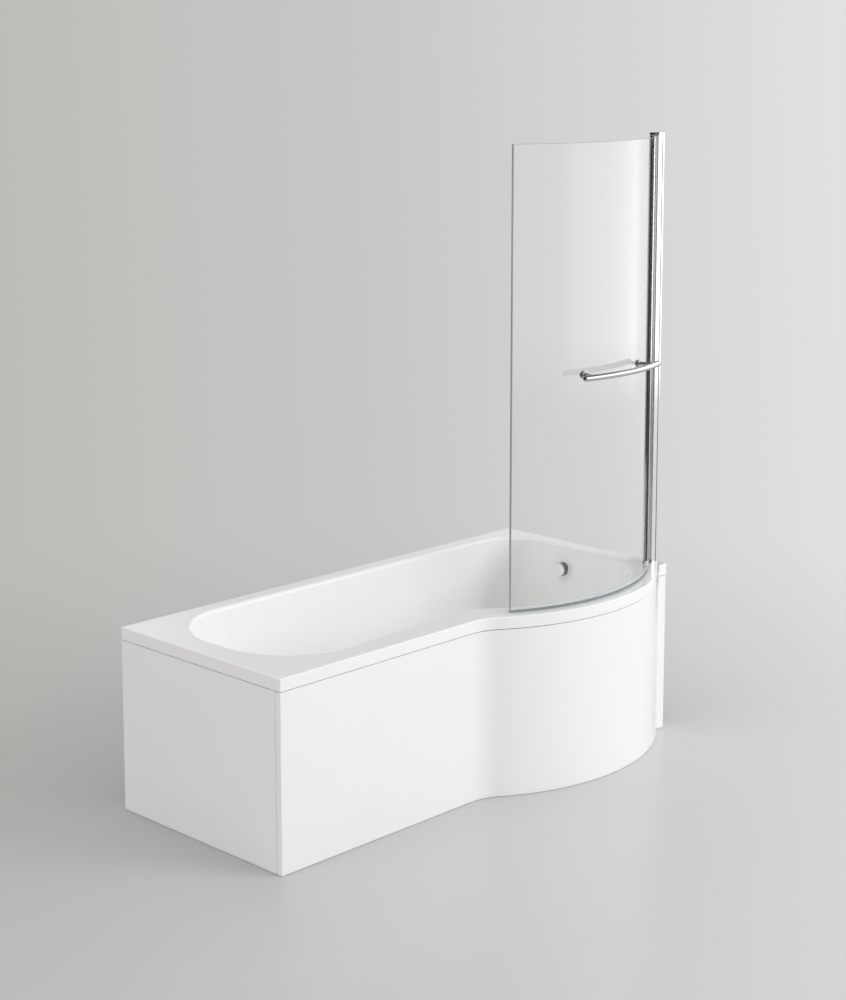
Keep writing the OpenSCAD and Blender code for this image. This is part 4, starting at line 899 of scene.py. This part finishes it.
def makeFloor():
    # one large flat square just below the feet; away from the object its tone passes softly into the
    # background's: fade over the distance * what is seen directly
    s, z = studio["size"], -studio["drop"]
    mesh = bpy.data.meshes.new("studioFloor")
    mesh.from_pydata([(-s, -s, z), (s, -s, z), (s, s, z), (-s, s, z)], [], [(0, 1, 2, 3)])
    floor = newObject("studioFloor", mesh)
    material, tree, shader = newMaterial("studioFloor", studio["paintedFloorLight"][1], 0.3)
    spot = nodeOn(tree, "TexCoord").outputs["Object"]
    # painted light: the floor's colour is darker towards the plain end's side and lighter towards the
    # shower end's side
    feed(tree, shader, {"Base Color": sideShade(tree, spot, studio["paintedFloorLight"], studio["soft"]),
                        "Roughness": rangeOn(tree, noiseOn(tree, 2.0, 3)["Fac"], 0.28, 0.34, 0.0, 1.0),
                        "Specular IOR Level": 0.3})
    # the far floor's glow carries the same painted side light
    beyond = nodeOn(tree, "Emission", {"Color": sideShade(tree, spot, studio["skies"], studio["soft"])})
    fade = rangeOn(tree, distanceOn(tree, spot), 0.0, 1.0, studio["near"], studio["far"], "SMOOTHSTEP")
    part = mathOn(tree, "MULTIPLY", fade, seenDirectly(tree))
    both = nodeOn(tree, "MixShader", {"Fac": part, 1: shader.outputs[0], 2: beyond.outputs[0]})
    feed(tree, tree.nodes["Material Output"], {"Surface": both.outputs[0]})
    mesh.materials.append(material)


def makeLamp(name, spot, size, power, tone):
    # a square soft lamp that shines from the spot towards the aim and doesn't show in mirrors
    data = bpy.data.lights.new(name, "AREA")
    data.shape, data.size = "SQUARE", size
    data.energy, data.color = power, tone
    lamp = newObject(name, data)
    lamp.location = spot
    lamp.rotation_euler = (Vector(studio["aim"]) - Vector(spot)).to_track_quat("-Z", "Y").to_euler()
    lamp.visible_glossy = lamp.visible_transmission = False


def mirrorCard(name, radius, first, last, low, high, fade, strength):
    # an upright sheet bent round the middle, radius * (cosine, sine), that only mirrors and glass see:
    # it adds light, or takes it away where the strength is negative, and fades out towards its edges
    rows, cols = 9, 41
    turn, heights = np.radians(np.linspace(first, last, cols)), np.linspace(low, high, rows)
    spots = (radius * np.cos(turn), radius * np.sin(turn), heights[:, None])
    points = np.stack(np.broadcast_arrays(*spots), -1)
    mesh = bpy.data.meshes.new(name)
    mesh.from_pydata(points.reshape(-1, 3).tolist(), [], gridFaces(rows, cols, loopCols=False))
    corners = np.empty(len(mesh.loops), np.int32)
    mesh.loops.foreach_get("vertex_index", corners)
    uv = np.stack([corners % cols / (cols - 1), corners // cols / (rows - 1)], -1)
    mesh.uv_layers.new(name="card").data.foreach_set("uv", uv.astype(np.float32).ravel())
    card = newObject(name, mesh)
    material, tree, _ = newMaterial(name, (0, 0, 0), 0.0)
    tree.nodes.clear()
    spot = nodeOn(tree, "UVMap", uv_map="card").outputs["UV"]
    split = nodeOn(tree, "SeparateXYZ", {"Vector": spot}).outputs
    level = 1.0 if strength > 0 else -strength
    across = rampOn(tree, split["X"], greys((0.0, 0), (0.12, level), (0.88, level), (1.0, 0)))
    up = rampOn(tree, split["Y"], greys((0.0, 0), (fade, 1), (1 - fade, 1), (1.0, 0)))
    both = mixOn(tree, 1.0, across, up, "MULTIPLY")
    # the card counts once a ray has been thrown back
    depth = nodeOn(tree, "LightPath").outputs["Glossy Depth"]
    mirrored = mixOn(tree, depth, (0, 0, 0, 1), both)
    clear = nodeOn(tree, "BsdfTransparent")
    shown = clear
    if strength > 0:
        glow = nodeOn(tree, "Emission", {"Strength": strength, "Color": mirrored})
        shown = nodeOn(tree, "AddShader", {0: clear.outputs[0], 1: glow.outputs[0]})
    else:
        feed(tree, clear, {"Color": nodeOn(tree, "Invert", {"Color": mirrored}).outputs[0]})
    nodeOn(tree, "OutputMaterial", {"Surface": shown.outputs[0]})
    mesh.materials.append(material)
    card.visible_camera = card.visible_diffuse = card.visible_shadow = False


def makeWorld():
    # even light from all round; the camera, mirrors and glass see the far floor's pale tones times a
    # ramp that darkens overhead
    world = bpy.data.worlds.new("studio")
    bpy.context.scene.world = world
    world.use_nodes = True
    tree = world.node_tree
    way = nodeOn(tree, "TexCoord").outputs["Generated"]
    height = nodeOn(tree, "SeparateXYZ", {"Vector": way}).outputs["Z"]
    roof = rampOn(tree, height, greys(*studio["overhead"]))
    shown = mixOn(tree, 1.0, sideShade(tree, way, studio["skies"], 0.0), roof, "MULTIPLY")
    light = mixOn(tree, seenDirectly(tree), (*(studio["air"],) * 3, 1), shown)
    feed(tree, tree.nodes["Background"], {"Color": light, "Strength": 1.0})


def makeCamera():
    # the photograph's own place and lens, with a small shift for its upright edges; the lens is the
    # focal length in pixels over the photograph's height, times the sensor
    data = bpy.data.cameras.new("studioCamera")
    camera = newObject("studioCamera", data)
    yaw, pitch = math.radians(view["yaw"]), math.radians(view["pitch"])
    camera.location = view["place"]
    camera.rotation_euler = (quarter - pitch, 0, yaw - quarter)
    data.sensor_width, data.sensor_fit = view["sensor"], "AUTO"
    data.lens = view["focal"] / view["height"] * view["sensor"]
    data.shift_y, data.clip_end = view["shift"], view["reach"]
    bpy.context.scene.camera = camera


makeFloor()
makeWorld()
for name, values in lamps.items():
    makeLamp(name, *values)
for name, values in cards.items():
    mirrorCard(name, *values)
makeCamera()
bpy.context.scene.view_settings.view_transform = "Standard"
print("floor, light and camera made")
